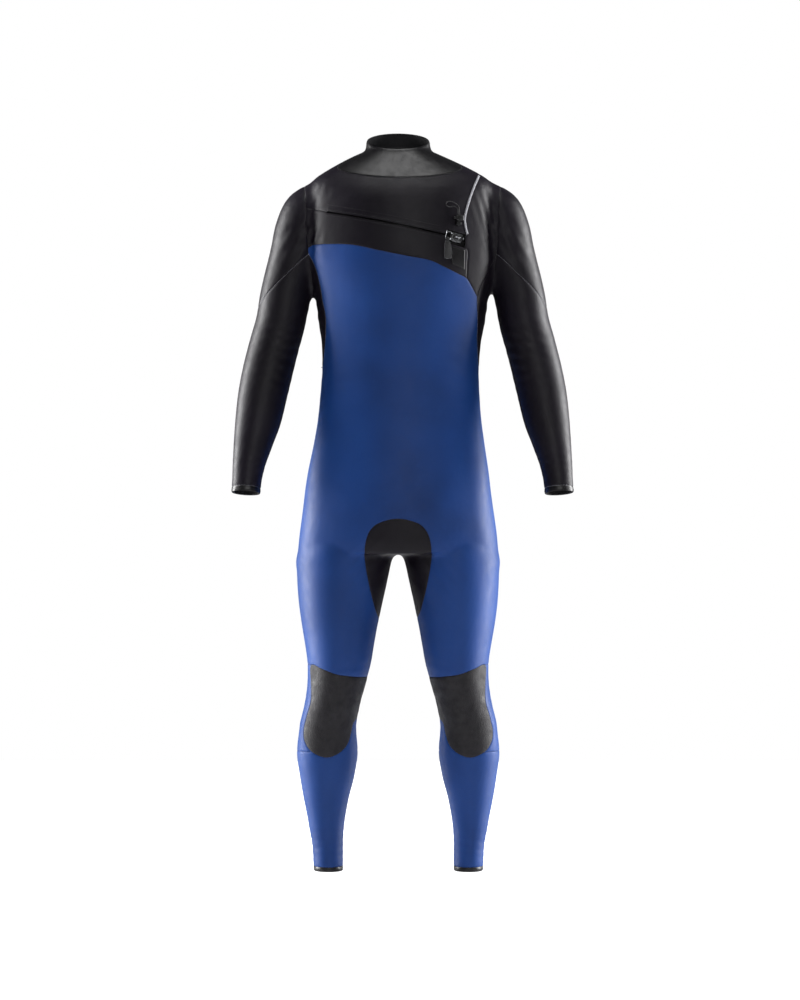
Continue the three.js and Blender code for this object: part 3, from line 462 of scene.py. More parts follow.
class Cloth:
    """A triangle surface that is parted along lines; seams holds the edges of the parting lines."""

    def __init__(self, points, triangles):
        self.points = [np.array(p) for p in points]
        self.triangles = [tuple(t) for t in triangles.tolist()]
        self.labels = [None] * len(self.triangles)
        self.seams = set()
        self.fixed = set()

    def part(self, field, allowed, seam=True):
        """Splits triangles along field = 0 where allowed says so; field gives nan far from the line."""
        points = np.array(self.points)
        value = field(points)
        triangles = np.array(self.triangles)
        near = np.isfinite(value)
        value = np.where(near & (np.abs(value) > 1e-3), value, 0.0)
        ready = near & (value == 0) & allowed(points)
        low = np.where(near, value < 0, False)
        high = np.where(near, value > 0, False)
        crossed = low[triangles].any(1) & high[triangles].any(1) & near[triangles].all(1)
        chosen = np.nonzero(crossed)[0]
        if not len(chosen):
            return
        a, b = edge_pairs(triangles[chosen]).T
        over = value[a] * value[b] < 0
        a, b = a[over], b[over]
        t = value[a] / (value[a] - value[b])
        cross = points[a] + t[:, None] * (points[b] - points[a])
        good = allowed(cross)
        a, b, t, cross = a[good], b[good], t[good], cross[good]
        zero, new = {}, {}
        for i in np.argsort(np.minimum(t, 1 - t)):
            va, vb = int(a[i]), int(b[i])
            if va in zero or vb in zero:
                continue
            for vertex, share in ((va, t[i]), (vb, 1 - t[i])):
                if share < 0.24 and vertex not in self.fixed:
                    zero[vertex] = cross[i]
                    break
        for vertex, place in zero.items():
            self.points[vertex] = place
        for i in range(len(a)):
            va, vb = int(a[i]), int(b[i])
            if va in zero or vb in zero:
                continue
            new[(va, vb)] = len(self.points)
            self.points.append(cross[i])
        met = set(np.nonzero(ready)[0].tolist())
        on_line = set(zero) | set(new.values()) | met
        if seam:
            self.fixed |= on_line
        touched = set(zero) | met | {v for pair in new for v in pair}
        kept, labels, made = [], [], set()
        for index, corners in enumerate(self.triangles):
            if not (corners[0] in touched or corners[1] in touched or corners[2] in touched):
                kept.append(corners)
                labels.append(self.labels[index])
                continue
            split = [new.get((min(p, q), max(p, q))) for p, q in zip(corners, corners[1:] + corners[:1])]
            count = sum(s is not None for s in split)
            if count == 0:
                pieces = [corners]
            elif count == 1:
                k = next(i for i in range(3) if split[i] is not None)
                p, q, r = corners[k], corners[(k + 1) % 3], corners[(k + 2) % 3]
                m = split[k]
                pieces = [(p, m, r), (m, q, r)]
            elif count == 2:
                k = next(i for i in range(3) if split[i] is not None and split[i - 1] is not None)
                p, q, r = corners[k], corners[(k + 1) % 3], corners[(k + 2) % 3]
                m, n = split[k], split[k - 1]
                pieces = [(p, m, n), (m, q, r), (m, r, n)]
            else:
                m, n, o = split
                pieces = [(corners[0], m, o), (m, corners[1], n), (o, n, corners[2]), (m, n, o)]
            kept += pieces
            labels += [self.labels[index]] * len(pieces)
            if seam:
                for piece in pieces:
                    for p, q in zip(piece, piece[1:] + piece[:1]):
                        if p in on_line and q in on_line:
                            made.add((min(p, q), max(p, q)))
        if self.seams and new:
            for pair, middle in new.items():
                if pair in self.seams:
                    self.seams.discard(pair)
                    self.seams.add((min(pair[0], middle), max(pair[0], middle)))
                    self.seams.add((min(pair[1], middle), max(pair[1], middle)))
        self.seams |= made
        self.triangles, self.labels = kept, labels

    def drop(self, unwanted):
        """Takes away the triangles whose middles unwanted says yes to."""
        points, triangles = np.array(self.points), np.array(self.triangles)
        gone = unwanted(points[triangles].mean(1))
        self.labels = [label for label, out in zip(self.labels, gone) if not out]
        self.triangles = [t for t, out in zip(self.triangles, gone) if not out]

    def edges(self):
        """Each edge's triangles."""
        found = {}
        for index, (a, b, c) in enumerate(self.triangles):
            for p, q in ((a, b), (b, c), (c, a)):
                found.setdefault((min(p, q), max(p, q)), []).append(index)
        return found

    def name_panels(self, probes):
        """Follows the surface up to the seams and names each area by the probe that lands on it."""
        edges = self.edges()
        beside = [[] for _ in self.triangles]
        for pair, owners in edges.items():
            if len(owners) == 2 and pair not in self.seams:
                beside[owners[0]].append(owners[1])
                beside[owners[1]].append(owners[0])
        area = [-1] * len(self.triangles)
        count = 0
        for start in range(len(self.triangles)):
            if area[start] >= 0:
                continue
            stack, area[start] = [start], count
            while stack:
                for other in beside[stack.pop()]:
                    if area[other] < 0:
                        area[other] = count
                        stack.append(other)
            count += 1
        tree = BVHTree.FromPolygons([tuple(p) for p in self.points], self.triangles)
        names = {}
        for name, x, z, side in probes:
            start = -400 if side == "front" else 400
            _, _, index, _ = tree.ray_cast(Vector((x, start, z)), Vector((0, -math.copysign(1, start), 0)))
            if index is None:
                raise ValueError(f"the probe of {name} lands on nothing")
            if area[index] in names:
                raise ValueError(f"{name} and {names[area[index]]} are not parted")
            names[area[index]] = name
        border = {}
        for pair, owners in edges.items():
            if len(owners) == 2 and area[owners[0]] != area[owners[1]]:
                one, two = area[owners[0]], area[owners[1]]
                border.setdefault(one, {}).setdefault(two, []).append(pair)
                border.setdefault(two, {}).setdefault(one, []).append(pair)
        for _ in range(8):
            for one in range(count):
                if one not in names:
                    near = {two: len(pairs) for two, pairs in border.get(one, {}).items() if two in names}
                    if near:
                        names[one] = names[max(near, key=near.get)]
        self.labels = [names.get(a) for a in area]
        self.seams = {
            pair for pair, owners in edges.items()
            if len(owners) == 2 and self.labels[owners[0]] != self.labels[owners[1]]
        }
        return {pair: owners for pair, owners in edges.items() if len(owners) == 1}


def plane(point, direction):
    direction = np.array(direction, float) / np.linalg.norm(direction)
    return lambda points: (points - np.array(point, float)) @ direction


def curved(line, per=6):
    """A smooth line through a few points."""
    line = [np.array(p, float) for p in line]
    padded = [2 * line[0] - line[1], *line, 2 * line[-1] - line[-2]]
    found = []
    for i in range(1, len(padded) - 2):
        a, b, c, d = padded[i - 1:i + 3]
        for t in np.arange(per) / per:
            found.append(0.5 * (
                2 * b + (c - a) * t + (2 * a - 5 * b + 4 * c - d) * t * t + (3 * b - a - 3 * c + d) * t ** 3
            ))
    return np.array([*found, line[-1]])


def from_line(line, points, reach=14.0):
    """Signed distance in the front view from a line, nan further than reach."""
    flat = points[:, [0, 2]]
    value = np.full(len(points), np.nan)
    near = np.nonzero((
        (flat > line.min(0) - reach) & (flat < line.max(0) + reach)
    ).all(1))[0]
    best = np.full(len(near), np.inf)
    sign = np.zeros(len(near))
    place = flat[near]
    for a, b in zip(line, line[1:]):
        run = b - a
        length = run @ run
        if length < 1e-9:
            continue
        away = place - a
        t = np.clip(away @ run / length, 0, 1)
        gap = away - t[:, None] * run
        far = (gap ** 2).sum(1)
        closer = far < best - 1e-9
        turn = run[0] * away[:, 1] - run[1] * away[:, 0]
        best = np.where(closer, far, best)
        sign = np.where(closer, np.where(turn >= 0, 1.0, -1.0), sign)
    distance = np.sqrt(best)
    value[near] = np.where(distance < reach, distance * sign, np.nan)
    return value


OVERRUN = 7.0   # a seam runs on this far past the seam that it ends on, and the overrun is dropped


def seam_line(cloth, line, y_from, y_to, smooth=True):
    line = curved(line) if smooth else np.array(line, float)
    cloth.part(
        lambda points: from_line(line, points),
        lambda points: (
            (points[:, 1] >= y_from - OVERRUN) & (points[:, 1] <= y_to + OVERRUN)
            & (np.abs(np.nan_to_num(from_line(line, points), nan=99.0)) < 1.0)
        ),
    )


def seam_plane(cloth, point, direction, allowed):
    cloth.part(plane(point, direction), allowed)


def mirrored(line, side, middle):
    return [(side * x + middle, z) for x, z in line]


def torso_width(height):
    return smooth_rows(TORSO, height)[0][0]


def side_line(side, top):
    return [*top, *((side * (torso_width(z) - inset) + sway(z), z) for z, inset in SIDE_INSET)]


def find_armpit():
    heights = np.arange(-240, -340, -1.0)
    rows = smooth_rows([(z, x - width) for x, _, z, width, _ in ARM], heights)[:, 0]
    for z, inner in zip(heights, rows):
        if inner > torso_width(z):
            return torso_width(z), z
    return 177.0, -297.0


FAR = 400.0


def cut_pattern(cloth):
    """Every seam of the suit, in the order that the lines meet."""
    seam_plane(
        cloth, (0, 0, -38), (0, -0.455, 1), lambda p: (np.abs(p[:, 0]) < 130) & (p[:, 2] > -130),
    )
    seam_plane(
        cloth, (0, SHOULDER_SEAM_Y, 0), (0, 1, 0),
        lambda p: (p[:, 2] < -24) & (p[:, 2] > -140) & (p[:, 0] > -200) & (p[:, 0] < 216),
    )
    armpit = find_armpit()
    armhole = [(201, -40), (196, -90), (191, -150), (187, -225), (armpit[0] + 1.5, armpit[1] + 1),
               (armpit[0] + 2, armpit[1] - 14), (armpit[0] + 3, armpit[1] - 40)]
    for side in (1, -1):
        seam_line(cloth, mirrored(armhole, side, ARM_CENTRE), -FAR, FAR)
        seam_line(cloth, mirrored(SLEEVE_LINE, side, ARM_CENTRE), -FAR, FAR)
        centres, along, _ = arm_line(side)
        top = centres[-1] - along[-1] * CUFF_HEIGHT
        seam_plane(cloth, top, along[-1], lambda p, top=top: np.linalg.norm(p - top, axis=1) < 60)
    seam_line(cloth, [*FLAP_EDGE, zip_spot(SLIDER_AT, 13, 4)], -FAR, SHOULDER_SEAM_Y)
    seam_line(cloth, [zip_spot(SLIDER_AT, 15, -12), *FLAP_CORNER], -FAR, 0)
    seam_line(cloth, CHEST_EDGE, -FAR, SIDE_SEAM_Y)
    seam_line(cloth, [zip_spot(ZIP_START, 4, 0), *ZIP_LEAD_END], -FAR, SIDE_SEAM_Y)
    seam_line(cloth, side_line(-1, RIGHT_FRONT_TOP), -FAR, SIDE_SEAM_Y)
    seam_line(cloth, side_line(1, LEFT_FRONT_TOP), -FAR, SIDE_SEAM_Y)
    for side in (1, -1):
        seam_line(cloth, side_line(side, mirrored(BACK_TOP, side, sway(-262))), SIDE_SEAM_Y, FAR)
    seam_line(cloth, BACK_YOKE_EDGE, SIDE_SEAM_Y, FAR)
    middle = sway(-1000)
    bands = [  # nearest and farthest from the middle, lowest, highest
        (60, 190, -565, -402), (60, 214, KNEE_TOP - 6, -560), (110, 260, HEM, KNEE_BOTTOM + 6),
        (5, 135, HEM, -930),
    ]

    def on_side_seam(p):
        reach, height = np.abs(p[:, 0] - middle), p[:, 2]
        inside = [(reach > a) & (reach < b) & (height > c) & (height < d) for a, b, c, d in bands]
        return np.any(inside, axis=0)
    seam_plane(cloth, (0, SIDE_SEAM_Y, 0), (0, 1, 0), on_side_seam)
    for side in (1, -1):
        def band(x_from, x_to, z_low, z_high, side=side):
            return lambda p: (
                (side * (p[:, 0] - middle) > x_from) & (side * (p[:, 0] - middle) < x_to)
                & (p[:, 2] > z_low) & (p[:, 2] < z_high)
            )
        seam_line(cloth, mirrored(PAD_EDGE, side, middle), -FAR, SIDE_SEAM_Y)
        for start, height in ((173.5, KNEE_TOP), (168, KNEE_BOTTOM)):
            front = mirrored([(start, height), (230, height)], side, middle)
            back = mirrored([(0, height), (230, height)], side, middle)
            seam_line(cloth, front, -FAR, SIDE_SEAM_Y, False)
            seam_line(cloth, back, SIDE_SEAM_Y, FAR, False)
        seam_plane(cloth, (0, 0, ANKLE_SEAM), (0, 0, 1), band(0, 230, HEM - 20, KNEE_BOTTOM))
    middle = sway(-850)
    gusset = [*mirrored(GUSSET_EDGE, -1, middle), *mirrored(GUSSET_EDGE, 1, middle)[::-1][1:]]
    seam_line(cloth, gusset, -FAR, FAR)


def in_outline(outline, points):
    """Whether front-view points lie inside a closed outline."""
    x, z = points[:, 0], points[:, 2]
    inside = np.zeros(len(points), bool)
    for (x0, z0), (x1, z1) in zip(outline, [*outline[1:], outline[0]]):
        crosses = (z0 > z) != (z1 > z)
        with np.errstate(divide="ignore", invalid="ignore"):
            at = (x1 - x0) * (z - z0) / ((z1 - z0) or 1e-9) + x0
        inside ^= crosses & (x < at)
    return inside


WINDOW_OUTLINE = [zip_spot(SLIDER_AT, along, rise) for along, rise in WINDOW]
SLOT_ENDS = (ZIP_START - 1 / ZIP_RADIUS, ZIP_END - 6 / ZIP_RADIUS)
SLOT_HALF = 1.5


def in_slot(points):
    angle, rise = zip_place(points)
    return (
        (np.abs(rise) < SLOT_HALF) & (angle > SLOT_ENDS[0]) & (angle < SLOT_ENDS[1]) & (points[:, 1] < 0)
    )


def cut_openings(cloth):
    """Parts the slot over the zip, the window of the slider and the hems, and takes their cloth away."""
    def front_and_ends(p):
        angle = zip_place(p)[0]
        return (p[:, 1] < 0) & (angle > SLOT_ENDS[0] - 0.03) & (angle < SLOT_ENDS[1] + 0.03)
    for rise in (-SLOT_HALF, SLOT_HALF):
        seam_plane(cloth, ZIP_CENTRE + ZIP_UP * rise, ZIP_UP, front_and_ends)
    for angle in SLOT_ENDS:
        point = zip_point(angle)
        across = ZIP_ACROSS * math.cos(angle) - ZIP_OUT * math.sin(angle)
        seam_plane(
            cloth, point, across,
            lambda p: (np.abs(zip_place(p)[1]) < SLOT_HALF + 1) & (p[:, 1] < 0),
        )
    seam_line(cloth, [*WINDOW_OUTLINE, WINDOW_OUTLINE[0]], -FAR, 0, False)
    for side in (1, -1):
        centres, along, _ = arm_line(side)
        hem, way = centres[-1], along[-1]
        cloth.part(plane(hem, way), lambda p, hem=hem: np.linalg.norm(p - hem, axis=1) < 60)
    cloth.part(plane((0, 0, HEM), (0, 0, 1)), lambda p: np.full(len(p), True))
    cloth.part(plane((0, 0, 0), (0, -0.364, 1)), lambda p: (p[:, 2] > -60) & (np.abs(p[:, 0]) < 90))

    def past_hem(p):
        gone = (p[:, 2] < HEM) | ((p[:, 2] - 0.364 * p[:, 1] > 0) & (p[:, 2] > -60))
        for side in (1, -1):
            centres, along, _ = arm_line(side)
            gone |= (((p - centres[-1]) @ along[-1]) > 0) & (np.linalg.norm(p - centres[-1], axis=1) < 60)
        return gone | in_slot(p) | (in_outline(WINDOW_OUTLINE, p) & (p[:, 1] < 0))
    cloth.drop(past_hem)


PROBES = [
    ("neck_collar", 0, -50, "front"), ("entry_yoke", 0, -130, "front"),
    ("left_shoulder_panel", 165, -160, "front"), ("lower_chest_panel", 0, -208, "front"),
    ("front_body_panel", 0, -450, "front"), ("back_yoke", 0, -200, "back"),
    ("back_body_panel", 0, -600, "back"), ("left_side_panel", 168, -345, "front"),
    ("right_side_panel", -161, -335, "front"), ("crotch_gusset", 0, -790, "front"),
]
LIMB_PROBES = [
    ("upper_sleeve", 235, -200, "front"), ("lower_sleeve", 290, -580, "front"),
    ("wrist_cuff", 311, -699, "front"), ("knee_pad", 132, -1130, "front"),
    ("knee_back", 132, -1130, "back"), ("shin", 143, -1330, "front"),
    ("calf", 143, -1330, "back"), ("ankle_cuff", 140, -1453.5, "front"),
]
for side_name, side_sign in (("left", 1), ("right", -1)):
    PROBES += [(f"{side_name}_{name}", side_sign * x, z, face) for name, x, z, face in LIMB_PROBES]


def distance_to(lines, points, reach=12.0):
    """Distance from each point to the nearest of many points on the seams."""
    tree = KDTree(len(lines))
    for index, place in enumerate(lines):
        tree.insert(Vector(place), index)
    tree.balance()
    found = np.full(len(points), np.nan)
    for index, place in enumerate(points):
        _, _, far = tree.find(Vector(place))
        if far < reach:
            found[index] = far
    return found


def along_edges(points, pairs, step=0.8):
    """Points close together along edges."""
    found = []
    for a, b in pairs:
        p, q = points[a], points[b]
        count = max(1, int(np.linalg.norm(q - p) / step))
        for i in range(count):
            found.append(p + (q - p) * (i / count))
        found.append(q)
    return found


GROOVE = [(0.0, 1.0), (1.3, 0.3), (3.4, 0.0)]   # distance from a seam, depth


def press_seams(cloth, hems):
    """Rolls each panel's edge in, so that a seam is a soft groove."""
    marks = along_edges(cloth.points, list(cloth.seams) + list(hems))
    for distance, _ in GROOVE[1:]:
        cloth.part(
            lambda points, distance=distance: distance_to(marks, points) - distance,
            lambda points: np.full(len(points), True), seam=False,
        )
    points = np.array(cloth.points)
    triangles = np.array(cloth.triangles)
    normals = normals_of(points, triangles)
    far = np.nan_to_num(distance_to(marks, points), nan=99.0)
    depth = np.interp(far, [g[0] for g in GROOVE], [g[1] for g in GROOVE])
    angle, rise = zip_place(points)
    lap = (rise > 0) & (rise < 9) & (angle > SLOT_ENDS[0]) & (angle < SLOT_ENDS[1]) & (points[:, 1] < 0)
    lift = np.interp(rise, [0, 1.5, 3, 9], [0, 1.1, 1.3, 0])
    depth = np.where(lap, -lift, depth)
    return points - normals * depth[:, None], normals, triangles


def chains(pairs):
    """Edges joined end to end into lines of vertices."""
    beside = {}
    for a, b in pairs:
        beside.setdefault(a, set()).add(b)
        beside.setdefault(b, set()).add(a)
    left = set(pairs)
    lines = []
    ends = [v for v, n in beside.items() if len(n) != 2]
    for start in [*ends, *beside]:
        for second in list(beside[start]):
            if (min(start, second), max(start, second)) not in left:
                continue
            line, a, b = [start], start, second
            while True:
                left.discard((min(a, b), max(a, b)))
                line.append(b)
                if len(beside[b]) != 2:
                    break
                onward = [n for n in beside[b] if (min(b, n), max(b, n)) in left]
                if not onward:
                    break
                a, b = b, onward[0]
            lines.append(line)
    return lines


# ---- Materials ---------------------------------------------------------------------------------

def colour(red, green, blue):
    def linear(value):
        value /= 255
        return value / 12.92 if value <= 0.04045 else ((value + 0.055) / 1.055) ** 2.4
    return linear(red), linear(green), linear(blue), 1.0


class Finish:
    """A material built node by node round one Principled shader, on Object coordinates."""

    def __init__(self, name, roughness=0.5, metallic=0.0):
        self.material = bpy.data.materials.new(name)
        self.material.use_nodes = True
        self.tree = self.material.node_tree
        self.tree.nodes.clear()
        self.shader = self.tree.nodes.new("ShaderNodeBsdfPrincipled")
        out = self.tree.nodes.new("ShaderNodeOutputMaterial")
        self.link(self.shader, "BSDF", out, "Surface")
        self.place = self.tree.nodes.new("ShaderNodeTexCoord")
        self.set(Roughness=roughness, Metallic=metallic)

    def set(self, **values):
        for name, value in values.items():
            self.shader.inputs[name.replace("_", " ")].default_value = value

    def link(self, a, output, b, socket):
        self.tree.links.new(a.outputs[output], b.inputs[socket])

    def noise(self, scale, detail=3.0, roughness=0.55):
        node = self.tree.nodes.new("ShaderNodeTexNoise")
        node.inputs["Scale"].default_value = scale
        node.inputs["Detail"].default_value = detail
        node.inputs["Roughness"].default_value = roughness
        self.link(self.place, "Object", node, "Vector")
        return node, "Fac"

    def cells(self, scale, feature="F1"):
        node = self.tree.nodes.new("ShaderNodeTexVoronoi")
        node.feature = feature
        node.inputs["Scale"].default_value = scale
        self.link(self.place, "Object", node, "Vector")
        return node, "Distance"

    def bands(self, scale, direction="Z", distortion=0.0):
        node = self.tree.nodes.new("ShaderNodeTexWave")
        node.bands_direction = direction
        node.inputs["Scale"].default_value = scale
        node.inputs["Distortion"].default_value = distortion
        self.link(self.place, "Object", node, "Vector")
        return node, "Fac"

    def math(self, operation, one, two):
        node = self.tree.nodes.new("ShaderNodeMath")
        node.operation = operation
        for socket, value in enumerate((one, two)):
            if isinstance(value, tuple):
                self.link(*value, node, socket)
            else:
                node.inputs[socket].default_value = value
        return node, "Value"

    def ramp(self, source, *stops):
        node = self.tree.nodes.new("ShaderNodeValToRGB")
        while len(node.color_ramp.elements) < len(stops):
            node.color_ramp.elements.new(0.5)
        for element, (position, value) in zip(node.color_ramp.elements, stops):
            element.position = position
            element.color = value if isinstance(value, tuple) else (value, value, value, 1)
        self.link(*source, node, "Fac")
        return node, "Color"

    def blended(self, factor, one, two, kind="MIX"):
        node = self.tree.nodes.new("ShaderNodeMix")
        node.data_type = "RGBA"
        node.blend_type = kind
        sockets = {"Factor": node.inputs[0], "A": node.inputs[6], "B": node.inputs[7]}
        for key, value in (("Factor", factor), ("A", one), ("B", two)):
            if isinstance(value, tuple) and not isinstance(value[0], float):
                self.tree.links.new(value[0].outputs[value[1]], sockets[key])
            else:
                sockets[key].default_value = value
        return node, 2

    def bump(self, height, distance, strength=1.0, under=None):
        node = self.tree.nodes.new("ShaderNodeBump")
        node.inputs["Strength"].default_value = strength
        node.inputs["Distance"].default_value = distance
        self.link(*height, node, "Height")
        if under:
            self.link(*under, node, "Normal")
        return node, "Normal"

    def into(self, source, socket):
        self.link(*source, self.shader, socket)

    def tinted(self, scale, detail, dark, light, top):
        """Base colour that wanders between two tones."""
        tones = self.ramp(self.noise(scale, detail), (0.3, colour(*dark)), (top, colour(*light)))
        self.into(tones, "Base Color")

    def roughened(self, scale, detail, low, high, top):
        """Roughness that wanders between two values."""
        self.into(self.ramp(self.noise(scale, detail), (0.3, low), (top, high)), "Roughness")


def knitted(name, dark, base, light, sheen, roughness=0.5):
    """Nylon jersey: fine knit, a slow drift of colour, worn paler patches and a soft sheen."""
    finish = Finish(name, roughness)
    drift = finish.ramp(
        finish.noise(5, 2), (0.25, colour(*dark)), (0.5, colour(*base)), (0.8, colour(*light)),
    )
    worn = finish.ramp(finish.noise(38, 5, 0.65), (0.55, 0.0), (0.85, 0.22))
    paler = finish.blended(worn, drift, colour(*light))
    grain = finish.ramp(finish.noise(1500, 2), (0.35, 0.86), (0.65, 1.0))
    finish.into(finish.blended(1.0, paler, grain, "MULTIPLY"), "Base Color")
    rough = finish.ramp(finish.noise(55, 4), (0.3, roughness - 0.05), (0.7, roughness + 0.07))
    finish.into(rough, "Roughness")
    knit = finish.math("ADD", finish.bands(265, "Z", 1.2), finish.cells(820))
    finish.into(finish.bump(knit, 0.00012, 0.55, finish.bump(finish.noise(26, 3), 0.0022, 0.3)), "Normal")
    tint = colour(*(min(255, int(c * 1.9 + 60)) for c in base))
    finish.set(Specular_IOR_Level=0.3, Sheen_Weight=sheen, Sheen_Roughness=0.32, Sheen_Tint=tint)
    return finish.material


def smooth_rubber(name, dark, light, roughness, grain):
    """Glossy neoprene skin or moulded rubber with a fine grain."""
    finish = Finish(name, roughness)
    finish.tinted(14, 4, dark, light, 0.75)
    finish.roughened(70, 5, roughness - 0.05, roughness + 0.12, 0.75)
    fine = finish.bump(finish.cells(grain), 0.00010, 0.5, finish.bump(finish.noise(30, 3), 0.0012, 0.3))
    finish.into(fine, "Normal")
    return finish.material


def knee_rubber():
    """Abrasion-proof knee material: raised grit in small cells, scuffed on the high spots."""
    finish = Finish("knee_rubber", 0.62)
    base = finish.ramp(finish.noise(12, 4), (0.3, colour(18, 15, 22)), (0.75, colour(29, 25, 34)))
    specks = finish.ramp(finish.cells(620), (0.1, 1.0), (0.55, 0.72))
    scuffs = finish.ramp(finish.noise(46, 6, 0.7), (0.58, 0.0), (0.78, 0.3))
    grit = finish.blended(1.0, base, specks, "MULTIPLY")
    finish.into(finish.blended(scuffs, grit, colour(62, 57, 65)), "Base Color")
    fine = finish.bump(finish.noise(900, 3), 0.0002, 0.6)
    finish.into(finish.bump(finish.cells(430), 0.00045, 0.8, fine), "Normal")
    finish.into(finish.ramp(finish.noise(60, 4), (0.3, 0.5), (0.7, 0.74)), "Roughness")
    return finish.material


def woven(name, dark, light, pitch, roughness=0.8):
    """Narrow woven cloth: tape, webbing, cord or binding."""
    finish = Finish(name, roughness)
    weave = finish.math(
        "MULTIPLY", finish.bands(pitch, "DIAGONAL"), finish.bands(pitch * 0.9, "Z", 0.5),
    )
    finish.into(finish.ramp(weave, (0.1, colour(*dark)), (0.8, colour(*light))), "Base Color")
    finish.into(finish.bump(weave, 0.0002, 0.8, finish.bump(finish.noise(1400, 2), 0.0001, 0.6)), "Normal")
    finish.roughened(80, 3, roughness - 0.08, roughness + 0.08, 0.7)
    finish.set(Sheen_Weight=0.3, Sheen_Roughness=0.4)
    return finish.material


def spun(name, dark, light):
    """Sewing thread."""
    finish = Finish(name, 0.55)
    finish.tinted(900, 2, dark, light, 0.7)
    finish.into(finish.bump(finish.bands(1400, "DIAGONAL"), 0.00005, 0.5), "Normal")
    finish.set(Sheen_Weight=0.2)
    return finish.material


def plastic(name, dark, light, roughness):
    finish = Finish(name, roughness)
    finish.tinted(120, 4, dark, light, 0.75)
    finish.roughened(240, 5, roughness - 0.06, roughness + 0.14, 0.75)
    finish.into(finish.bump(finish.noise(2600, 3), 0.00004, 0.5), "Normal")
    return finish.material


def cast_metal(name):
    """Brushed zinc with fine scratches and duller hollows."""
    finish = Finish(name, 0.28, 1.0)
    duller, brighter = colour(150, 152, 156), colour(214, 216, 220)
    finish.into(finish.ramp(finish.noise(160, 5), (0.25, duller), (0.7, brighter)), "Base Color")
    finish.into(finish.ramp(finish.noise(420, 6, 0.7), (0.3, 0.18), (0.75, 0.42)), "Roughness")
    finish.into(finish.bump(finish.bands(1500, "X", 3.0), 0.00002, 0.4), "Normal")
    return finish.material


BLUE = knitted("blue_jersey", (20, 58, 122), (26, 70, 145), (32, 80, 160), 0.06, 0.5)
BLACK = knitted("black_jersey", (14, 10, 19), (19, 14, 25), (27, 22, 36), 0.05, 0.46)
SKIN = smooth_rubber("smooth_skin", (11, 10, 13), (19, 18, 22), 0.34, 1300)
KNEE = knee_rubber()
LINING = smooth_rubber("plush_lining", (20, 20, 23), (34, 34, 38), 0.85, 700)
# The edge binding's pale grey is a painted highlight: it stands in for the light caught along the flap's
# edge.
BINDING_PAINTED_HIGHLIGHT = woven("edge_binding", (150, 150, 158), (206, 206, 212), 380, 0.6)
TAPE = woven("zip_tape", (14, 14, 16), (34, 34, 37), 330)
CORD = woven("cord_braid", (16, 16, 19), (52, 52, 58), 420, 0.6)
WEBBING = woven("tab_webbing", (12, 12, 14), (40, 40, 44), 250)
PLASTIC = plastic("black_plastic", (13, 13, 15), (27, 27, 30), 0.4)
METAL = cast_metal("slider_metal")
# Pale thread: a real light topstitch on the pull tab, and painted highlight on the sleeve, side and cuff
# seams.
PALE_THREAD_AND_SEAM_HIGHLIGHT = spun("pale_thread_and_seam_highlight", (120, 120, 130), (176, 176, 186))
DARK_THREAD = spun("dark_thread", (14, 14, 18), (36, 36, 44))
BLUE_THREAD = spun("blue_thread", (22, 44, 96), (44, 74, 140))


# ---- The panels --------------------------------------------------------------------------------

form_points, form_triangles = suit_form()
form_points = folds(form_points, normals_of(form_points, form_triangles))
form_tree = BVHTree.FromPolygons([tuple(p) for p in form_points], form_triangles.tolist())
cloth = Cloth(form_points, form_triangles)
cut_openings(cloth)
cut_pattern(cloth)
hems = cloth.name_panels(PROBES)
skin_points, skin_normals, skin_triangles = press_seams(cloth, hems)
labels = np.array([label or "" for label in cloth.labels])

for name, sign in (("left", 1), ("right", -1)):
    centres = arm_line(sign)[0]


def carried(obj, zone):
    """Gives a piece its body: root, or moving below an elbow or a knee; a piece at an elbow or a knee is only
    set in place and does not bend.
    """
    if zone == "body":
        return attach(obj, "root")
    side, part = zone.split("_")
    if part == "cuff":
        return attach(obj, f"{side}_forearm")
    if part == "ankle":
        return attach(obj, f"{side}_lower_leg")
    if part == "arm":
        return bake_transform(obj)
    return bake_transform(obj)


PANEL_MAKE = {  # material, wall, share of its rectangle, zone
    "neck_collar": (SKIN, LIMB_WALL, 0.7, "body"),
    "entry_yoke": (BLACK, WALL, 0.75, "body"),
    "left_shoulder_panel": (BLACK, WALL, 0.6, "body"),
    "lower_chest_panel": (BLACK, WALL, 0.6, "body"),
    "front_body_panel": (BLUE, WALL, 0.75, "body"),
    "back_yoke": (BLACK, WALL, 0.8, "body"),
    "back_body_panel": (BLUE, WALL, 0.75, "body"),
    "left_side_panel": (BLACK, WALL, 0.55, "body"),
    "right_side_panel": (BLACK, WALL, 0.55, "body"),
    "crotch_gusset": (BLACK, WALL, 0.6, "body"),
    "upper_sleeve": (BLACK, LIMB_WALL, 0.6, "body"),
    "lower_sleeve": (BLACK, LIMB_WALL, 0.8, "arm"),
    "wrist_cuff": (SKIN, LIMB_WALL, 0.95, "cuff"),
    "knee_pad": (KNEE, LIMB_WALL, 0.75, "leg"),
    "knee_back": (BLUE, LIMB_WALL, 0.85, "leg"),
    "shin": (BLUE, LIMB_WALL, 0.75, "leg"),
    "calf": (BLUE, LIMB_WALL, 0.8, "leg"),
    "ankle_cuff": (SKIN, LIMB_WALL, 0.95, "ankle"),
}
STANDS_FOR = {"lower_sleeve": ("elbow_panel", "forearm_panel"), "knee_back": ("knee_back_panel",),
              "shin": ("shin_panel",), "calf": ("calf_panel",)}


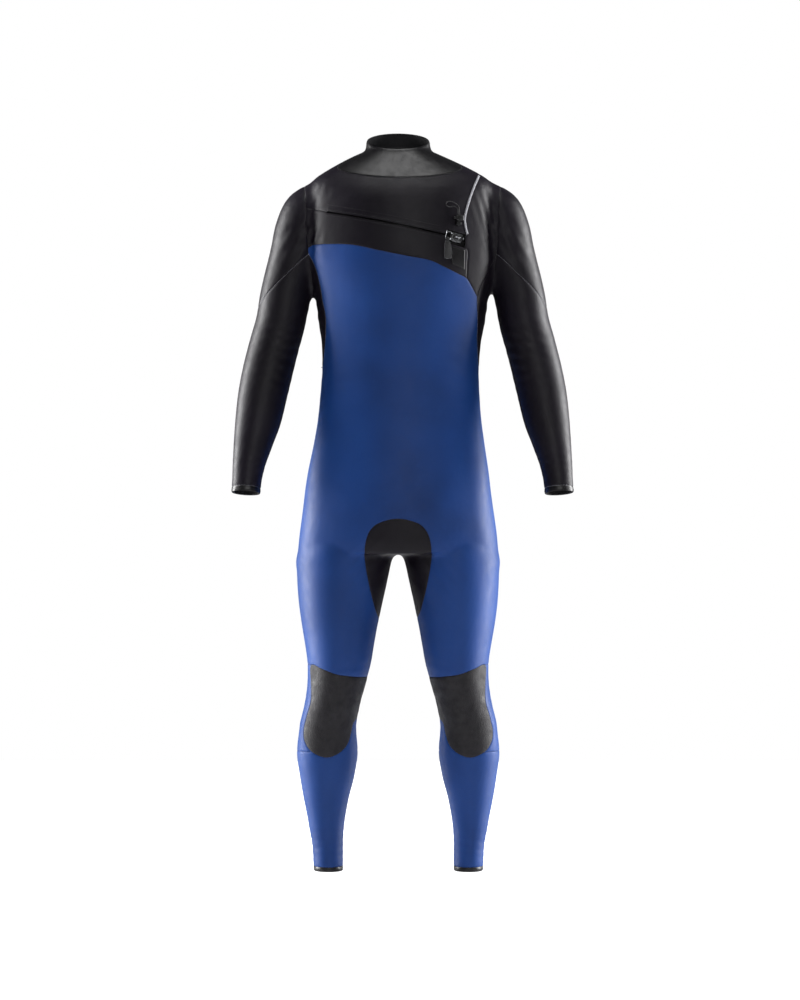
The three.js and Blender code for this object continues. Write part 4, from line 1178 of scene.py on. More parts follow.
def make_panel(label):
    side, plain = "", label
    for start in ("left_", "right_"):
        if label.startswith(start) and label[len(start):] in PANEL_MAKE:
            side, plain = start[:-1], label[len(start):]
    material, wall, share, part = PANEL_MAKE[plain]
    chosen = skin_triangles[labels == label]
    used = np.unique(chosen)
    place = np.zeros(len(skin_points), np.int64)
    place[used] = np.arange(len(used))
    panel = new_object(f"{label}_cloth", skin_points[used], place[chosen])
    for layer in (material, LINING):
        panel.data.materials.append(layer)
    thick = panel.modifiers.new("wall", "SOLIDIFY")
    thick.thickness = wall * MM
    thick.offset = -1
    thick.material_offset = 1
    thick.material_offset_rim = 1
    made_real(panel)
    panel.data.shade_smooth()
    panel.data.set_sharp_from_angle(angle=math.radians(62))
    nodes = [f"{side}_{n}" if side else n for n in STANDS_FOR.get(plain, (plain,))]
    zone = "body" if part == "body" else f"{side}_{part}"
    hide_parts(*nodes)
    carried(panel, zone)
    return panel


for label in sorted(set(labels) - {""}):
    make_panel(label)


# ---- Stitches and teeth ------------------------------------------------------------------------

def repeat_tree(name, material, shape):
    """Geometry Nodes: one small shape laid again and again along a line that carries its own 'lift'."""
    tree = bpy.data.node_groups.new(name, "GeometryNodeTree")
    face = tree.interface
    face.new_socket("Geometry", in_out="INPUT", socket_type="NodeSocketGeometry")
    for label, value in (("Spacing", 0.0032), ("Length", 0.0028), ("Width", 0.0005), ("Height", 0.0005),
                         ("Slant", 0.45), ("Unevenness", 0.12)):
        face.new_socket(label, in_out="INPUT", socket_type="NodeSocketFloat").default_value = value
    face.new_socket("Seed", in_out="INPUT", socket_type="NodeSocketInt").default_value = 7
    face.new_socket("Geometry", in_out="OUTPUT", socket_type="NodeSocketGeometry")

    def add(kind, **settings):
        node = tree.nodes.new(kind)
        for key, value in settings.items():
            setattr(node, key, value)
        return node

    given, out = add("NodeGroupInput"), add("NodeGroupOutput")
    curve = add("GeometryNodeMeshToCurve")
    even = add("GeometryNodeResampleCurve", mode="LENGTH")
    points = add("GeometryNodeCurveToPoints", mode="EVALUATED")
    lift = add("GeometryNodeInputNamedAttribute", data_type="FLOAT_VECTOR")
    lift.inputs["Name"].default_value = "lift"
    up = add("FunctionNodeAlignRotationToVector", axis="Z")
    forward = add("FunctionNodeAlignRotationToVector", axis="X", pivot_axis="Z")
    index = add("GeometryNodeInputIndex")
    turn = add("ShaderNodeMath", operation="MODULO")
    turn.inputs[1].default_value = 2
    swing = add("ShaderNodeMath", operation="MULTIPLY_ADD")
    swing.inputs[1].default_value = 2
    swing.inputs[2].default_value = -1
    slant = add("ShaderNodeMath", operation="MULTIPLY")
    stray = add("FunctionNodeRandomValue", data_type="FLOAT")
    stray.inputs[2].default_value = -1
    stray.inputs[3].default_value = 1
    uneven = add("ShaderNodeMath", operation="MULTIPLY")
    total = add("ShaderNodeMath", operation="ADD")
    angle, size = add("ShaderNodeCombineXYZ"), add("ShaderNodeCombineXYZ")
    part = add("GeometryNodeMeshCube" if shape == "tooth" else "GeometryNodeMeshUVSphere")
    if shape == "stitch":
        for socket, value in (("Segments", 6), ("Rings", 4), ("Radius", 0.5)):
            part.inputs[socket].default_value = value
    laid = add("GeometryNodeInstanceOnPoints")
    turned = add("GeometryNodeRotateInstances")
    real = add("GeometryNodeRealizeInstances")
    paint = add("GeometryNodeSetMaterial")
    paint.inputs["Material"].default_value = material
    for source, output, target, socket in (
        # points evenly along the line
        (given, "Geometry", curve, "Mesh"), (curve, "Curve", even, "Curve"),
        (given, "Spacing", even, "Length"), (even, "Curve", points, "Curve"),
        # each shape's top along the lift and its length along the line
        (lift, "Attribute", up, "Vector"), (up, "Rotation", forward, "Rotation"),
        (points, "Tangent", forward, "Vector"),
        # slanted to either side by turns, a little unevenly
        (index, "Index", turn, 0), (turn, "Value", swing, 0), (swing, "Value", slant, 0),
        (given, "Slant", slant, 1), (given, "Seed", stray, "Seed"), (stray, 1, uneven, 0),
        (given, "Unevenness", uneven, 1), (slant, "Value", total, 0), (uneven, "Value", total, 1),
        (total, "Value", angle, "Z"),
        (given, "Length", size, "X"), (given, "Width", size, "Y"), (given, "Height", size, "Z"),
        (points, "Points", laid, "Points"), (part, "Mesh", laid, "Instance"),
        (forward, "Rotation", laid, "Rotation"), (size, "Vector", laid, "Scale"),
        (laid, "Instances", turned, "Instances"), (angle, "Vector", turned, "Rotation"),
        # made real and given its material
        (turned, "Instances", real, "Geometry"), (real, "Geometry", paint, "Geometry"),
        (paint, "Geometry", out, "Geometry"),
    ):
        tree.links.new(source.outputs[output], target.inputs[socket])
    return tree


def laid_along(name, lines, lifts, material, shape="stitch", smooth=True, **values):
    """Repeats a shape along lines of points (millimetres), with the outward direction at each point."""
    points, edges, ups = [], [], []
    for line, lift in zip(lines, lifts):
        if len(line) < 2:
            continue
        start = len(points)
        points += [tuple(p * MM) for p in np.asarray(line)]
        ups += [tuple(u) for u in np.asarray(lift)]
        edges += [(start + i, start + i + 1) for i in range(len(line) - 1)]
    mesh = bpy.data.meshes.new(name)
    mesh.from_pydata(points, edges, [])
    attribute = mesh.attributes.new("lift", "FLOAT_VECTOR", "POINT")
    attribute.data.foreach_set("vector", np.array(ups, np.float32).ravel())
    obj = bpy.data.objects.new(name, mesh)
    bpy.context.scene.collection.objects.link(obj)
    modifier = obj.modifiers.new("repeat", "NODES")
    modifier.node_group = repeat_tree(f"{name}_repeat", material, shape)
    for item in modifier.node_group.interface.items_tree:
        if item.item_type == "SOCKET" and item.in_out == "INPUT" and item.name in values:
            modifier[item.identifier] = values[item.name]
    made_real(obj)
    if smooth:
        obj.data.shade_smooth()
    return obj


def evened(line, rounds=5):
    for _ in range(rounds):
        inner = (line[:-2] + 2 * line[1:-1] + line[2:]) / 4
        line = np.vstack([line[:1], inner, line[-1:]])
    return line


# Seams sewn in pale thread as painted highlight: the light colour stands in for the light caught along each
# seam's ridge.
SEAMS_WITH_PAINTED_HIGHLIGHT = [
    {"upper_sleeve", "lower_sleeve"}, {"side_panel", "front_body_panel"}, {"lower_sleeve", "wrist_cuff"},
]
BLUE_PANELS = {"front_body_panel", "back_body_panel", "knee_back", "shin", "calf"}
THREAD_LIFT = 0.55    # the thread's middle above the pressed seam
LOWER_PARTS = ("knee_pad", "knee_back", "shin", "calf", "ankle_cuff")


def seam_kind(one, two):
    sided = [name for name in (one, two) if name.startswith(("left_", "right_"))]
    plain = {name.split("_", 1)[1] if name in sided else name for name in (one, two)}
    side = sided[0].split("_")[0] if sided else ""
    if any(p in LOWER_PARTS for p in plain):
        zone = f"{side}_leg"
    elif "lower_sleeve" in plain:
        zone = f"{side}_arm"
    else:
        zone = "body"
    # Pale thread on these seams is painted highlight.
    if plain in SEAMS_WITH_PAINTED_HIGHLIGHT:
        return zone, "pale"
    return zone, "blue" if plain <= BLUE_PANELS else "dark"


owners_of = cloth.edges()
seam_groups = {}
for pair in cloth.seams:
    one, two = (labels[i] for i in owners_of[pair])
    if one and two:
        seam_groups.setdefault(frozenset((one, two)), set()).add(pair)
thread_lines = {}
for names, pairs in seam_groups.items():
    kind = seam_kind(*sorted(names))
    for chain in chains(pairs):
        if len(chain) < 4:
            continue
        lift = skin_normals[chain]
        line = evened(skin_points[chain] + lift * THREAD_LIFT)
        thread_lines.setdefault(kind, []).append((line, lift))

THREADS = {"pale": PALE_THREAD_AND_SEAM_HIGHLIGHT, "dark": DARK_THREAD, "blue": BLUE_THREAD}
for (zone, tone), found in sorted(thread_lines.items()):
    carried(laid_along(
        f"{zone}_seam_{tone}_thread", *zip(*found), THREADS[tone],
        Spacing=0.0031, Length=0.0031, Width=0.00062, Height=0.0005, Slant=0.62,
    ), zone)


def on_chest(x, z, raise_by=0.0):
    """The place and outward direction on the front of the form, in millimetres."""
    place, normal, _, _ = form_tree.ray_cast(Vector((x, -400, z)), Vector((0, 1, 0)))
    return np.array(place) + np.array(normal) * raise_by, np.array(normal)


def run_on_chest(line, raise_by, per=8):
    found = [on_chest(x, z, raise_by) for x, z in curved(line, per)]
    return np.array([p for p, _ in found]), np.array([n for _, n in found])


def zip_run(rise, short_by, raise_by):
    """A line beside the zip at a rise, from its start to an angle short of the slider."""
    angles = np.linspace(ZIP_START, SLIDER_AT - short_by, 120)[::8]
    return run_on_chest([zip_spot(angle, 0, rise) for angle in angles], raise_by)


FLAP_ROWS = [zip_run(14, 0.1, 0.2), zip_run(5, 0.09, 1.5), zip_run(-6, 0.08, 0.2)]
carried(laid_along(
    "flap_topstitch", *zip(*FLAP_ROWS), DARK_THREAD,
    Spacing=0.0034, Length=0.0026, Width=0.0005, Height=0.00045, Slant=0.0, Unevenness=0.05,
), "body")


HEM_THREAD_LIFT = 0.25


def ring_on_form(points):
    """Moves a rough ring of points onto the form."""
    places, ups = [], []
    for point in points:
        place, normal, _, _ = form_tree.find_nearest(Vector(point))
        places.append(np.array(place) + np.array(normal) * HEM_THREAD_LIFT)
        ups.append(np.array(normal))
    return np.array(places), np.array(ups)


def hem_thread(name, ring, zone):
    """A plain row of stitches along a ring near a hem."""
    places, ups = ring_on_form(np.vstack([ring, ring[:1]]))
    carried(laid_along(
        name, [places], [ups], DARK_THREAD,
        Spacing=0.0034, Length=0.0025, Width=0.0005, Height=0.00045, Slant=0.0,
    ), zone)


def wrist_ring(side, inset=5):
    centres, along, sizes = arm_line(side)
    across = np.cross((0, 1, 0), along[-1])
    across /= np.linalg.norm(across)
    return ellipse(centres[-1] - along[-1] * inset, across, np.cross(along[-1], across), *sizes[-1])


def ankle_ring(side, height=HEM + 4):
    x, half_width, half_depth, y = smooth_rows(LEG, height)[0]
    return ellipse((side * x + sway(HEM), y, height), (1, 0, 0), (0, 1, 0), half_width, half_depth)


for side, sign in (("left", 1), ("right", -1)):
    hem_thread(f"{side}_wrist_hem_thread", wrist_ring(sign), f"{side}_cuff")
    hem_thread(f"{side}_ankle_hem_thread", ankle_ring(sign), f"{side}_ankle")
hem_thread("collar_rim_thread", ellipse((sway(-5), 0, -5), (1, 0, 0), (0, 1, 0.37), 63.6, 62.6, 90), "body")


# ---- Zip, binding and patch --------------------------------------------------------------------

def finished(obj, material, body, *nodes, slot=None):
    """Gives a piece its material and its body, and hides the nodes that it stands for. Its slot argument is
    not used.
    """
    if not obj.data.materials:
        obj.data.materials.append(material)
    else:
        obj.data.materials[0] = material
    if nodes:
        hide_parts(*nodes)
    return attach(obj, body)


def rounded(obj, width, segments=2):
    bevel = obj.modifiers.new("rounded", "BEVEL")
    bevel.width = width * MM
    bevel.segments = segments
    bevel.limit_method = "ANGLE"
    bevel.angle_limit = math.radians(40)
    bevel.harden_normals = False
    made_real(obj)
    obj.data.shade_smooth()
    obj.data.set_sharp_from_angle(angle=math.radians(40))
    return obj


def zip_strip(name, depths, rises, angles, steps=110):
    rings = []
    for angle in np.linspace(*angles, steps):
        rings.append(np.array([
            zip_point(angle, depths[0], rises[0]), zip_point(angle, depths[1], rises[0]),
            zip_point(angle, depths[1], rises[1]), zip_point(angle, depths[0], rises[1]),
        ]))
    return outward(new_object(name, *loft(rings)))


def arc_step(length):
    return length / ZIP_RADIUS


TEETH_DEPTHS = (8.5, 13.5)
BLOCK_RISE = (-3.7, 3.7)
TAPE_ENDS = (ZIP_START - arc_step(7), ZIP_END + arc_step(7))


def zip_block(name, start, end, steps, edge, material, node):
    """A moulded or cast piece across the teeth."""
    block = rounded(zip_strip(name, TEETH_DEPTHS, BLOCK_RISE, (start, end), steps), edge, 3)
    finished(block, material, "root", node)


def make_zip_side(name, sign):
    """One side of the zip: tape, facing, teeth and the corded edge that they grip."""
    def between(a, b):
        return tuple(sorted((sign * a, sign * b)))
    tape = rounded(zip_strip(f"tape_{name}", (10.6, 11.4), between(4.0, 16.0), TAPE_ENDS), 0.25)
    finished(tape, TAPE, "root", f"zip_tape_{name}")
    facing = rounded(zip_strip(f"facing_{name}", (4.4, 10.3), between(11, 17), TAPE_ENDS), 0.8)
    finished(facing, SKIN, "root", f"zip_facing_{name}")
    # The two rows stand half a tooth apart, so that they mesh.
    angles = np.linspace(ZIP_START + arc_step(sign * 0.8 + 1), ZIP_END, 160)
    row = [zip_point(angle, CHAIN_DEPTH, sign * 1.3) for angle in angles]
    teeth = laid_along(
        f"teeth_{name}", [row], [[ZIP_UP] * len(row)], PLASTIC, "tooth", False,
        Spacing=0.0032, Length=0.0015, Width=0.0046, Height=0.0052, Slant=0.0, Unevenness=0.0,
    )
    finished(teeth, PLASTIC, "root", f"zip_teeth_{name}")
    bead = zip_strip(f"chain_edge_{name}", (9.9, 12.1), between(3.0, 4.4), (ZIP_START, ZIP_END))
    finished(rounded(bead, 0.5), TAPE, "root")


make_zip_side("upper", 1)
make_zip_side("lower", -1)
zip_block(
    "retainer", ZIP_START - arc_step(6.3), ZIP_START - arc_step(0.3), 6, 0.8,
    PLASTIC, "zip_retainer_box",
)
zip_block(
    "stop", ZIP_END + arc_step(0.3), ZIP_END + arc_step(4.3), 5, 0.9, METAL, "zip_end_stop",
)
guard_ends = (ZIP_START - arc_step(10), ZIP_END + arc_step(11))
guard = rounded(zip_strip("water_barrier", (18, 19.5), (-20, 20), guard_ends), 0.5)
finished(guard, LINING, "root", "inner_water_barrier", slot="smooth_skin")


SUNK = -1.2    # underside of a glued patch, in the cloth


def raised_patch(name, width_of, place_of, count_u, count_v, thickness, edge):
    """A thin pad glued on the suit: a grid whose edge rolls down to the cloth."""
    points, faces = [], []
    for layer in (0, 1):
        for i in range(count_u + 1):
            for j in range(count_v + 1):
                u, v = i / count_u, j / count_v
                x, z = place_of(u, v)
                near = min(min(u, 1 - u) * width_of[0], min(v, 1 - v) * width_of[1])
                roll = math.sqrt(1 - (1 - min(1.0, near / edge)) ** 2)
                height = SUNK if layer else thickness * (0.2 + 0.8 * roll)
                points.append(on_chest(x, z, height)[0])
    row = count_v + 1
    size = (count_u + 1) * row
    for i in range(count_u):
        for j in range(count_v):
            a = i * row + j
            faces.append((a, a + 1, a + row + 1, a + row))
            faces.append((size + a, size + a + row, size + a + row + 1, size + a + 1))
    rim = [(i, 0) for i in range(count_u)] + [(count_u, j) for j in range(count_v)]
    rim += [(i, count_v) for i in range(count_u, 0, -1)] + [(0, j) for j in range(count_v, 0, -1)]
    for (i, j), (k, m) in zip(rim, [*rim[1:], rim[0]]):
        a, b = i * row + j, k * row + m
        faces.append((a, b, size + b, size + a))
    return outward(new_object(name, points, faces))


def patch_place(u, v):
    a, b, c, d = (np.array(p, float) for p in PATCH)
    top, low = a + (b - a) * u, d + (c - d) * u
    return top + (low - top) * v


def make_patch():
    """The small pad at the slider, with a row of stitches inside its edge."""
    patch = raised_patch("end_patch", (27, 42), patch_place, 34, 46, 1.25, 1.6)
    finished(patch, SKIN, "root", "zip_end_patch")
    outline = [patch_place(u, v) for u, v in (
        *((t, 0.06) for t in np.linspace(0.08, 0.92, 8)), *((0.92, t) for t in np.linspace(0.06, 0.94, 12)),
        *((t, 0.94) for t in np.linspace(0.92, 0.08, 8)), *((0.08, t) for t in np.linspace(0.94, 0.06, 12)),
    )]
    line, lift = run_on_chest(outline, 1.35, 3)
    carried(laid_along(
        "patch_topstitch", [line], [lift], DARK_THREAD,
        Spacing=0.003, Length=0.0022, Width=0.00045, Height=0.0004, Slant=0.0,
    ), "body")


make_patch()
BINDING_WIDTH = 4.2
binding_line = curved([(159, -74), *FLAP_EDGE[2:]], 14)


def binding_place(u, v):
    index = v * (len(binding_line) - 1)
    low = min(int(index), len(binding_line) - 2)
    point = binding_line[low] + (binding_line[low + 1] - binding_line[low]) * (index - low)
    run = binding_line[low + 1] - binding_line[low]
    across = np.array([-run[1], run[0]]) / np.linalg.norm(run)
    return point + across * (u - 0.5) * BINDING_WIDTH


# The flap binding is a real raised strip; its pale grey colour is painted highlight along the flap edge.
strip = raised_patch("flap_binding_painted_highlight", (BINDING_WIDTH, 140), binding_place, 10, 130, 1.3, 1.7)
finished(strip, BINDING_PAINTED_HIGHLIGHT, "root", "flap_edge_binding")


# ---- Slider, puller, ring, tab, drawcord and lock ----------------------------------------------

def round_turn(count):
    """Cosine and sine of evenly spread angles round a full turn."""
    return [(math.cos(t), math.sin(t)) for t in np.linspace(0, 2 * math.pi, count, endpoint=False)]


class Parts:
    """Small solids gathered in one mesh, in local millimetres placed by a matrix."""

    def __init__(self, place):
        self.mesh = bmesh.new()
        self.place = place

    def block(self, low, high, bevel=0.4, segments=3, turn=None):
        one = bmesh.new()
        bmesh.ops.create_cube(one, size=1)
        for vertex in one.verts:
            vertex.co = [(vertex.co[i] + 0.5) * (high[i] - low[i]) + low[i] for i in range(3)]
        self.eased(one, one.edges[:], bevel, segments)
        return self.take(one, turn)

    @staticmethod
    def eased(one, edges, width, segments=3):
        bmesh.ops.bevel(one, geom=edges, offset=width, segments=segments, profile=0.5, affect="EDGES")

    def take(self, one, turn=None):
        bmesh.ops.recalc_face_normals(one, faces=one.faces)
        bmesh.ops.transform(one, matrix=self.place @ (turn or Matrix.Identity(4)), verts=one.verts)
        held = bpy.data.meshes.new("held")
        one.to_mesh(held)
        self.mesh.from_mesh(held)
        bpy.data.meshes.remove(held)
        one.free()
        return self

    def rod(self, path, radius, closed=False, sides=14, turn=None):
        """A round bar along a path; radius may be one number or one for each point."""
        path = [Vector(p) for p in path]
        count = len(path)
        radii = radius if hasattr(radius, "__len__") else [radius] * count
        one = bmesh.new()
        rings, normal = [], None
        for i, point in enumerate(path):
            before = path[(i - 1) % count] if closed or i else path[i]
            after = path[(i + 1) % count] if closed or i < count - 1 else path[i]
            along = (after - before).normalized()
            if normal is None:
                normal = along.orthogonal().normalized()
            normal = (normal - along * normal.dot(along)).normalized()
            other = along.cross(normal)
            rings.append([
                one.verts.new(point + (normal * c + other * s) * radii[i]) for c, s in round_turn(sides)
            ])
        pairs = list(zip(rings, rings[1:])) + ([(rings[-1], rings[0])] if closed else [])
        for a, b in pairs:
            for k in range(sides):
                one.faces.new((a[k], a[(k + 1) % sides], b[(k + 1) % sides], b[k]))
        if not closed:
            one.faces.new(rings[0][::-1])
            one.faces.new(rings[-1])
        return self.take(one, turn)

    def plate(self, outline, low, high, bevel=0.4, turn=None):
        """A flat plate of an outline (first two axes) between two heights, its edges rounded."""
        one = bmesh.new()
        base = [one.verts.new((x, y, low)) for x, y in outline]
        face = one.faces.new(base)
        grown = bmesh.ops.extrude_face_region(one, geom=[face])
        moved = [v for v in grown["geom"] if isinstance(v, bmesh.types.BMVert)]
        bmesh.ops.translate(one, verts=moved, vec=(0, 0, high - low))
        bmesh.ops.recalc_face_normals(one, faces=one.faces)
        flats = [f for f in one.faces if abs(f.normal.z) > 0.9]
        self.eased(one, list({e for f in flats for e in f.edges}), bevel)
        return self.take(one, turn)

    def made(self, name, material, body, *nodes):
        bmesh.ops.recalc_face_normals(self.mesh, faces=self.mesh.faces)
        bmesh.ops.scale(self.mesh, vec=(MM, MM, MM), verts=self.mesh.verts)
        mesh = bpy.data.meshes.new(name)
        self.mesh.to_mesh(mesh)
        self.mesh.free()
        mesh.shade_smooth()
        mesh.set_sharp_from_angle(angle=math.radians(38))
        obj = bpy.data.objects.new(name, mesh)
        bpy.context.scene.collection.objects.link(obj)
        return finished(obj, material, body, *nodes)


def rounded_outline(corners, radius, per=6):
    """A closed outline with its corners turned into arcs."""
    found = []
    count = len(corners)
    for i in range(count):
        a, b, c = (np.array(corners[(i + k) % count], float) for k in (-1, 0, 1))
        one, two = (a - b) / np.linalg.norm(a - b), (c - b) / np.linalg.norm(c - b)
        for t in np.linspace(0, 1, per):
            start, end = b + one * radius, b + two * radius
            found.append(tuple((1 - t) ** 2 * start + 2 * t * (1 - t) * b + t * t * end))
    return found


PIVOT = 3.5          # the puller's pin above the chest
PULL_HALF = 0.95     # half the puller's thickness
SLIDER = slider_frame()


def make_slider():
    """Two wings joined by a wedge, with side rims and a bail for the puller."""
    slider = Parts(SLIDER)
    wing = rounded_outline([(-13, -7), (-6, -9), (13, -9), (13, 9), (-6, 9), (-13, 7)], 2.2)
    slider.plate(wing, -8, -6, 0.55).plate(wing, -16, -14, 0.55)
    for sign in (-1, 1):
        side = sorted((sign * 7.4, sign * 9))
        slider.block((-6.5, side[0], -9.3), (12.6, side[1], -6.8), 0.5)
        slider.block((-6.5, side[0], -15.2), (12.6, side[1], -12.7), 0.5)
    slider.block((6, -2.1, -15.5), (12.6, 2.1, -6.6), 0.6)
    bail = [
        (-6.2, -7), (-6.2, 2), (-5.6, 4.6), (-4, 5.6), (-1, 5.9), (2, 5.6), (3.5, 4.4), (4, 2), (4, -7),
    ]
    slider.rod([(along, 0, out) for along, out in bail], 1.05, sides=16)
    slider.block((-8.6, -2.2, -6.4), (6.2, 2.2, -5.2), 0.5)
    slider.made("zip_slider_body", METAL, "zip_slider", "zip_slider")


def make_puller():
    """A ribbed blade on a pin, with an eye for the ring."""
    pull = Parts(SLIDER)
    pull.rod([(-1, -4, PIVOT), (-1, 4, PIVOT)], 0.85, sides=18)
    for sign in (-1, 1):
        side = sorted((sign * 1.75, sign * 4))
        pull.block((-9.2, side[0], PIVOT - PULL_HALF), (-0.1, side[1], PIVOT + PULL_HALF), 0.45)
    blade = rounded_outline([(-14.6, -3.6), (-7.4, -4), (-7.4, 4), (-14.6, 3.6)], 0.8)
    pull.plate(blade, PIVOT - PULL_HALF, PIVOT + PULL_HALF, 0.4)
    for place in (-12.6, -11.0, -9.4):
        pull.block((place - 0.35, -2.9, PIVOT + 0.6), (place + 0.35, 2.9, PIVOT + 1.35), 0.25, 2)
    for place in (-18.5, -14.0):
        pull.block((place, -3.8, PIVOT - 2.1), (place + 1.4, 3.8, PIVOT + 2.1), 0.45)
    for level in (PIVOT - 2.2, PIVOT + 1.35):
        pull.block((-18.4, -3.8, level), (-12.8, 3.8, level + 0.85), 0.35)
    pull.made("zip_puller_body", PLASTIC, "zip_puller", "zip_puller")


def make_ring():
    ring_path = rounded_outline([(-27.1, -7.1), (-15.5, -7.1), (-15.5, 7.1), (-27.1, 7.1)], 2.4, 8)
    Parts(SLIDER).rod([(x, y, PIVOT) for x, y in ring_path], 0.9, True, 14).made(
        "wire_ring", METAL, "zip_puller", "pull_ring",
    )


HANG = Matrix.Translation((0, -7.1, PIVOT)) @ Matrix.Rotation(-math.radians(6), 4, "X")
TAB_LEFT, TAB_RIGHT = -25.8, -19.2


def make_tab():
    """Webbing looped round the ring, with a stitched tail."""
    tab = Parts(SLIDER)
    grip, web = 1.5, 1.35    # inside radius of the loop and thickness of the webbing
    band = [(math.cos(t), math.sin(t)) for t in np.linspace(-1.9, 2.6, 26)]
    loop_outline = [(c * (grip + web), s * (grip + web)) for c, s in band]
    loop_outline += [(c * grip, s * grip) for c, s in band[::-1]]
    across_bar = Matrix(((0, 0, 1, 0), (1, 0, 0, 0), (0, 1, 0, 0), (0, 0, 0, 1)))
    tab.plate(loop_outline, TAB_LEFT, TAB_RIGHT, 0.25, HANG @ across_bar)
    tail = rounded_outline([
        (TAB_LEFT, -1.2), (TAB_RIGHT, -1.2), (TAB_RIGHT + 7, -10), (TAB_RIGHT + 14, -36),
        (TAB_RIGHT - 2, -40), (TAB_LEFT - 1, -14),
    ], 1.4, 4)
    tab.plate(tail, -1.9, -0.45, 0.35, HANG)
    tab = tab.made("webbing_tab", WEBBING, "pull_tab", "pull_tab")
    tail_line = np.array([
        (TAB_LEFT + 0.6, -5), (TAB_RIGHT + 3, -6.5), (TAB_RIGHT + 6.2, -11), (TAB_RIGHT + 12.4, -33.6),
        (TAB_RIGHT - 2, -37.2), (TAB_LEFT + 0.8, -14), (TAB_LEFT + 0.6, -5),
    ])
    place = SLIDER @ HANG
    run = np.array([place @ Vector((x, y, -0.35)) for x, y in curved(tail_line, 8)])
    up = np.array([place.to_3x3() @ Vector((0, 0, 1))] * len(run))
    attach(laid_along(
        "tab_topstitch", [run], [up], PALE_THREAD_AND_SEAM_HIGHLIGHT,
        Spacing=0.0026, Length=0.0018, Width=0.0004, Height=0.0004, Slant=0.0,
    ), "pull_tab")


LOCK = chest_frame(115, -168.5)
CORD_OUT = 5      # the cord's runs above the chest
BUTTON_UP = 5.5   # the button's axis above the lock's lower end


def make_guide():
    """A small box whose bore holds both ends of the drawcord."""
    guide = Parts(LOCK)
    walls = [  # along from and to, out from and to
        (-5, 5, 0.3, 3.7), (-5, 5, 6.3, 7.4), (-5, -2.75, 0.3, 7.4), (2.75, 5, 0.3, 7.4),
    ]
    for left, right, low, high in walls:
        guide.block((left, -9, low), (right, -2, high), 0.5)
    guide.made("cord_guide_body", PLASTIC, "root", "cord_guide")


def make_lock():
    """The ribbed shell of the cord lock, with a lip round each cord hole."""
    lock = Parts(LOCK)
    lock.block((-6, 0, 0.3), (10, 11, 9.2), 2.0, 5)
    for place in (1.5, 3.5, 5.5, 7.5, 9.5):
        lock.block((0.5, place - 0.45, 8.7), (8.2, place + 0.45, 9.55), 0.3, 2)
    for along in (-1.5, 1.5):
        for level in (0.0, 11.0):
            lip = [(along + 1.25 * c, level, CORD_OUT + 1.25 * s) for c, s in round_turn(20)]
            lock.rod(lip, 0.32, True, 8)
    lock.rod([(-6.0, BUTTON_UP + 3.0 * c, CORD_OUT + 3.0 * s) for c, s in round_turn(28)], 0.45, True, 10)
    lock.made("cord_lock_shell", PLASTIC, "cord_lock", "cord_lock_body")


def make_button():
    button = Parts(LOCK)
    profile = [(-10.5, 1.6), (-10.4, 2.0), (-10.0, 2.4), (-9.4, 2.6), (-2.9, 2.6)]
    path = [(along, BUTTON_UP, CORD_OUT) for along, _ in profile]
    button.rod(path, [radius for _, radius in profile], sides=28)
    button.made("cord_lock_button_cap", PLASTIC, "lock_button", "cord_lock_plunger")


CORD_DIAMETER = 0.0018
CORD_ROUTE = [  # along, up and out from the lock, both ends in the guide
    (-1.5, -7.5, 5), (-1.5, -2, 5), (-1.5, 5, 5), (-1.5, 12, 5), (-1.5, 19, 4.8), (-2.6, 24, 4.2),
    (-6.5, 27, 3.2), (-12, 27.4, 2.2), (-18, 26.6, 1.8), (-23.4, 28, 1.8), (-26, 31.5, 1.8),
    (-24.4, 35.2, 1.8), (-19.4, 37.2, 1.8), (-12, 36.4, 2), (-5, 33.4, 2.6), (-0.4, 29.4, 3.4),
    (1.3, 24.5, 4.3), (1.5, 19, 4.8), (1.5, 12, 5), (1.5, 5, 5), (1.5, -2, 5), (1.5, -7.5, 5),
]


def make_drawcord():
    centreline = curved([np.array(LOCK @ Vector(p)) * MM for p in CORD_ROUTE], 8)
    curve = bpy.data.curves.new("drawcord", "CURVE")
    curve.dimensions = "3D"
    curve.bevel_depth = CORD_DIAMETER / 2
    curve.bevel_resolution = 4
    curve.use_fill_caps = True
    spline = curve.splines.new("POLY")
    spline.points.add(len(centreline) - 1)
    for point, place in zip(spline.points, centreline):
        point.co = (*place, 1)
    curve.materials.append(CORD)
    drawcord = bpy.data.objects.new("drawcord", curve)
    bpy.context.scene.collection.objects.link(drawcord)
    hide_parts("drawcord_loop")
    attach(drawcord, "root")


for make in (
    make_slider, make_puller, make_ring, make_tab, make_guide, make_lock, make_button, make_drawcord,
):
    make()
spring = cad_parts["cord_lock_spring"]
spring.data.materials.clear()
spring.data.materials.append(METAL)


# ---- Studio ------------------------------------------------------------------------------------

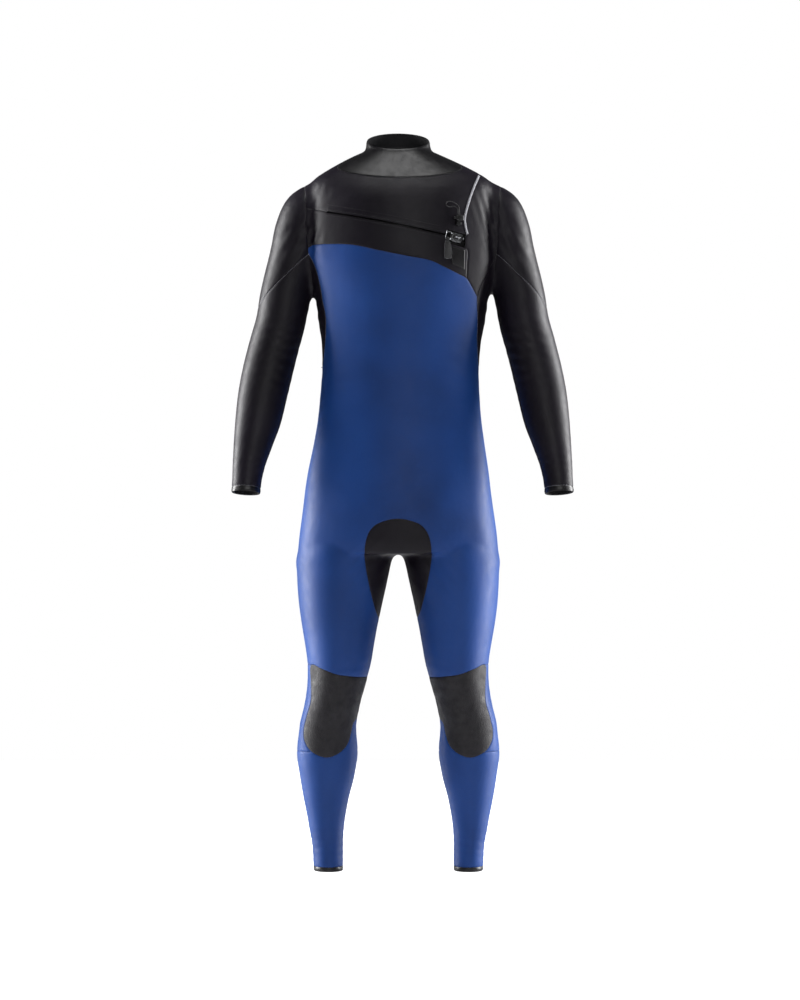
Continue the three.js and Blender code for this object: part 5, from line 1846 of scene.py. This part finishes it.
def studio():
    scene = bpy.context.scene
    lens = bpy.data.cameras.new("camera")
    lens.lens = 108
    lens.sensor_width = 36
    camera = bpy.data.objects.new("camera", lens)
    camera.location = (0.002, -6.0, -0.718)
    camera.rotation_euler = (math.pi / 2, 0, 0)
    scene.collection.objects.link(camera)
    scene.camera = camera
    world = bpy.data.worlds.new("studio_white")
    scene.world = world
    world.use_nodes = True
    tree = world.node_tree
    back = tree.nodes["Background"]
    back.inputs["Color"].default_value = (1, 1, 1, 1)
    back.inputs["Strength"].default_value = 0.05
    seen = tree.nodes.new("ShaderNodeBackground")
    seen.inputs["Color"].default_value = (1, 1, 1, 1)
    seen.inputs["Strength"].default_value = 1.0
    rays = tree.nodes.new("ShaderNodeLightPath")
    mix = tree.nodes.new("ShaderNodeMixShader")
    tree.links.new(rays.outputs["Is Camera Ray"], mix.inputs["Fac"])
    tree.links.new(back.outputs["Background"], mix.inputs[1])
    tree.links.new(seen.outputs["Background"], mix.inputs[2])
    tree.links.new(mix.outputs["Shader"], tree.nodes["World Output"].inputs["Surface"])
    scene.view_settings.view_transform = "Standard"

    def softbox(name, place, aim, size, watts, tint=(1, 1, 1)):
        data = bpy.data.lights.new(name, "AREA")
        data.shape = "RECTANGLE"
        data.size, data.size_y = size
        data.energy = watts
        data.color = tint
        light = bpy.data.objects.new(name, data)
        light.location = place
        light.rotation_euler = (Vector(aim) - Vector(place)).to_track_quat("-Z", "Y").to_euler()
        scene.collection.objects.link(light)

    softbox("left_softbox", (2.1, 0.55, -0.6), (0.1, 0, -0.75), (0.9, 2.6), 130)
    softbox("right_softbox", (-2.1, 0.55, -0.6), (-0.1, 0, -0.75), (0.9, 2.6), 130)
    softbox("front_fill", (0.6, -4.2, 0.8), (0, 0, -0.8), (1.4, 2.0), 36)
    softbox("top_softbox", (0, -0.6, 1.9), (0, 0, -0.4), (1.8, 1.2), 24)
    corners = [(-3000, -3500, 0), (3000, -3500, 0), (3000, 2500, 0), (-3000, 2500, 0)]
    floor = new_object("floor", corners, [(0, 1, 2, 3)], False)
    floor.location = (0, 0, HEM * MM - 0.001)
    pale = Finish("pale_floor", 0.9)
    pale.set(Base_Color=(0.7, 0.7, 0.71, 1), Emission_Color=(1, 1, 1, 1))
    seen_floor = pale.tree.nodes.new("ShaderNodeLightPath")
    pale.link(seen_floor, "Is Camera Ray", pale.shader, "Emission Strength")
    floor.data.materials.append(pale.material)


studio()
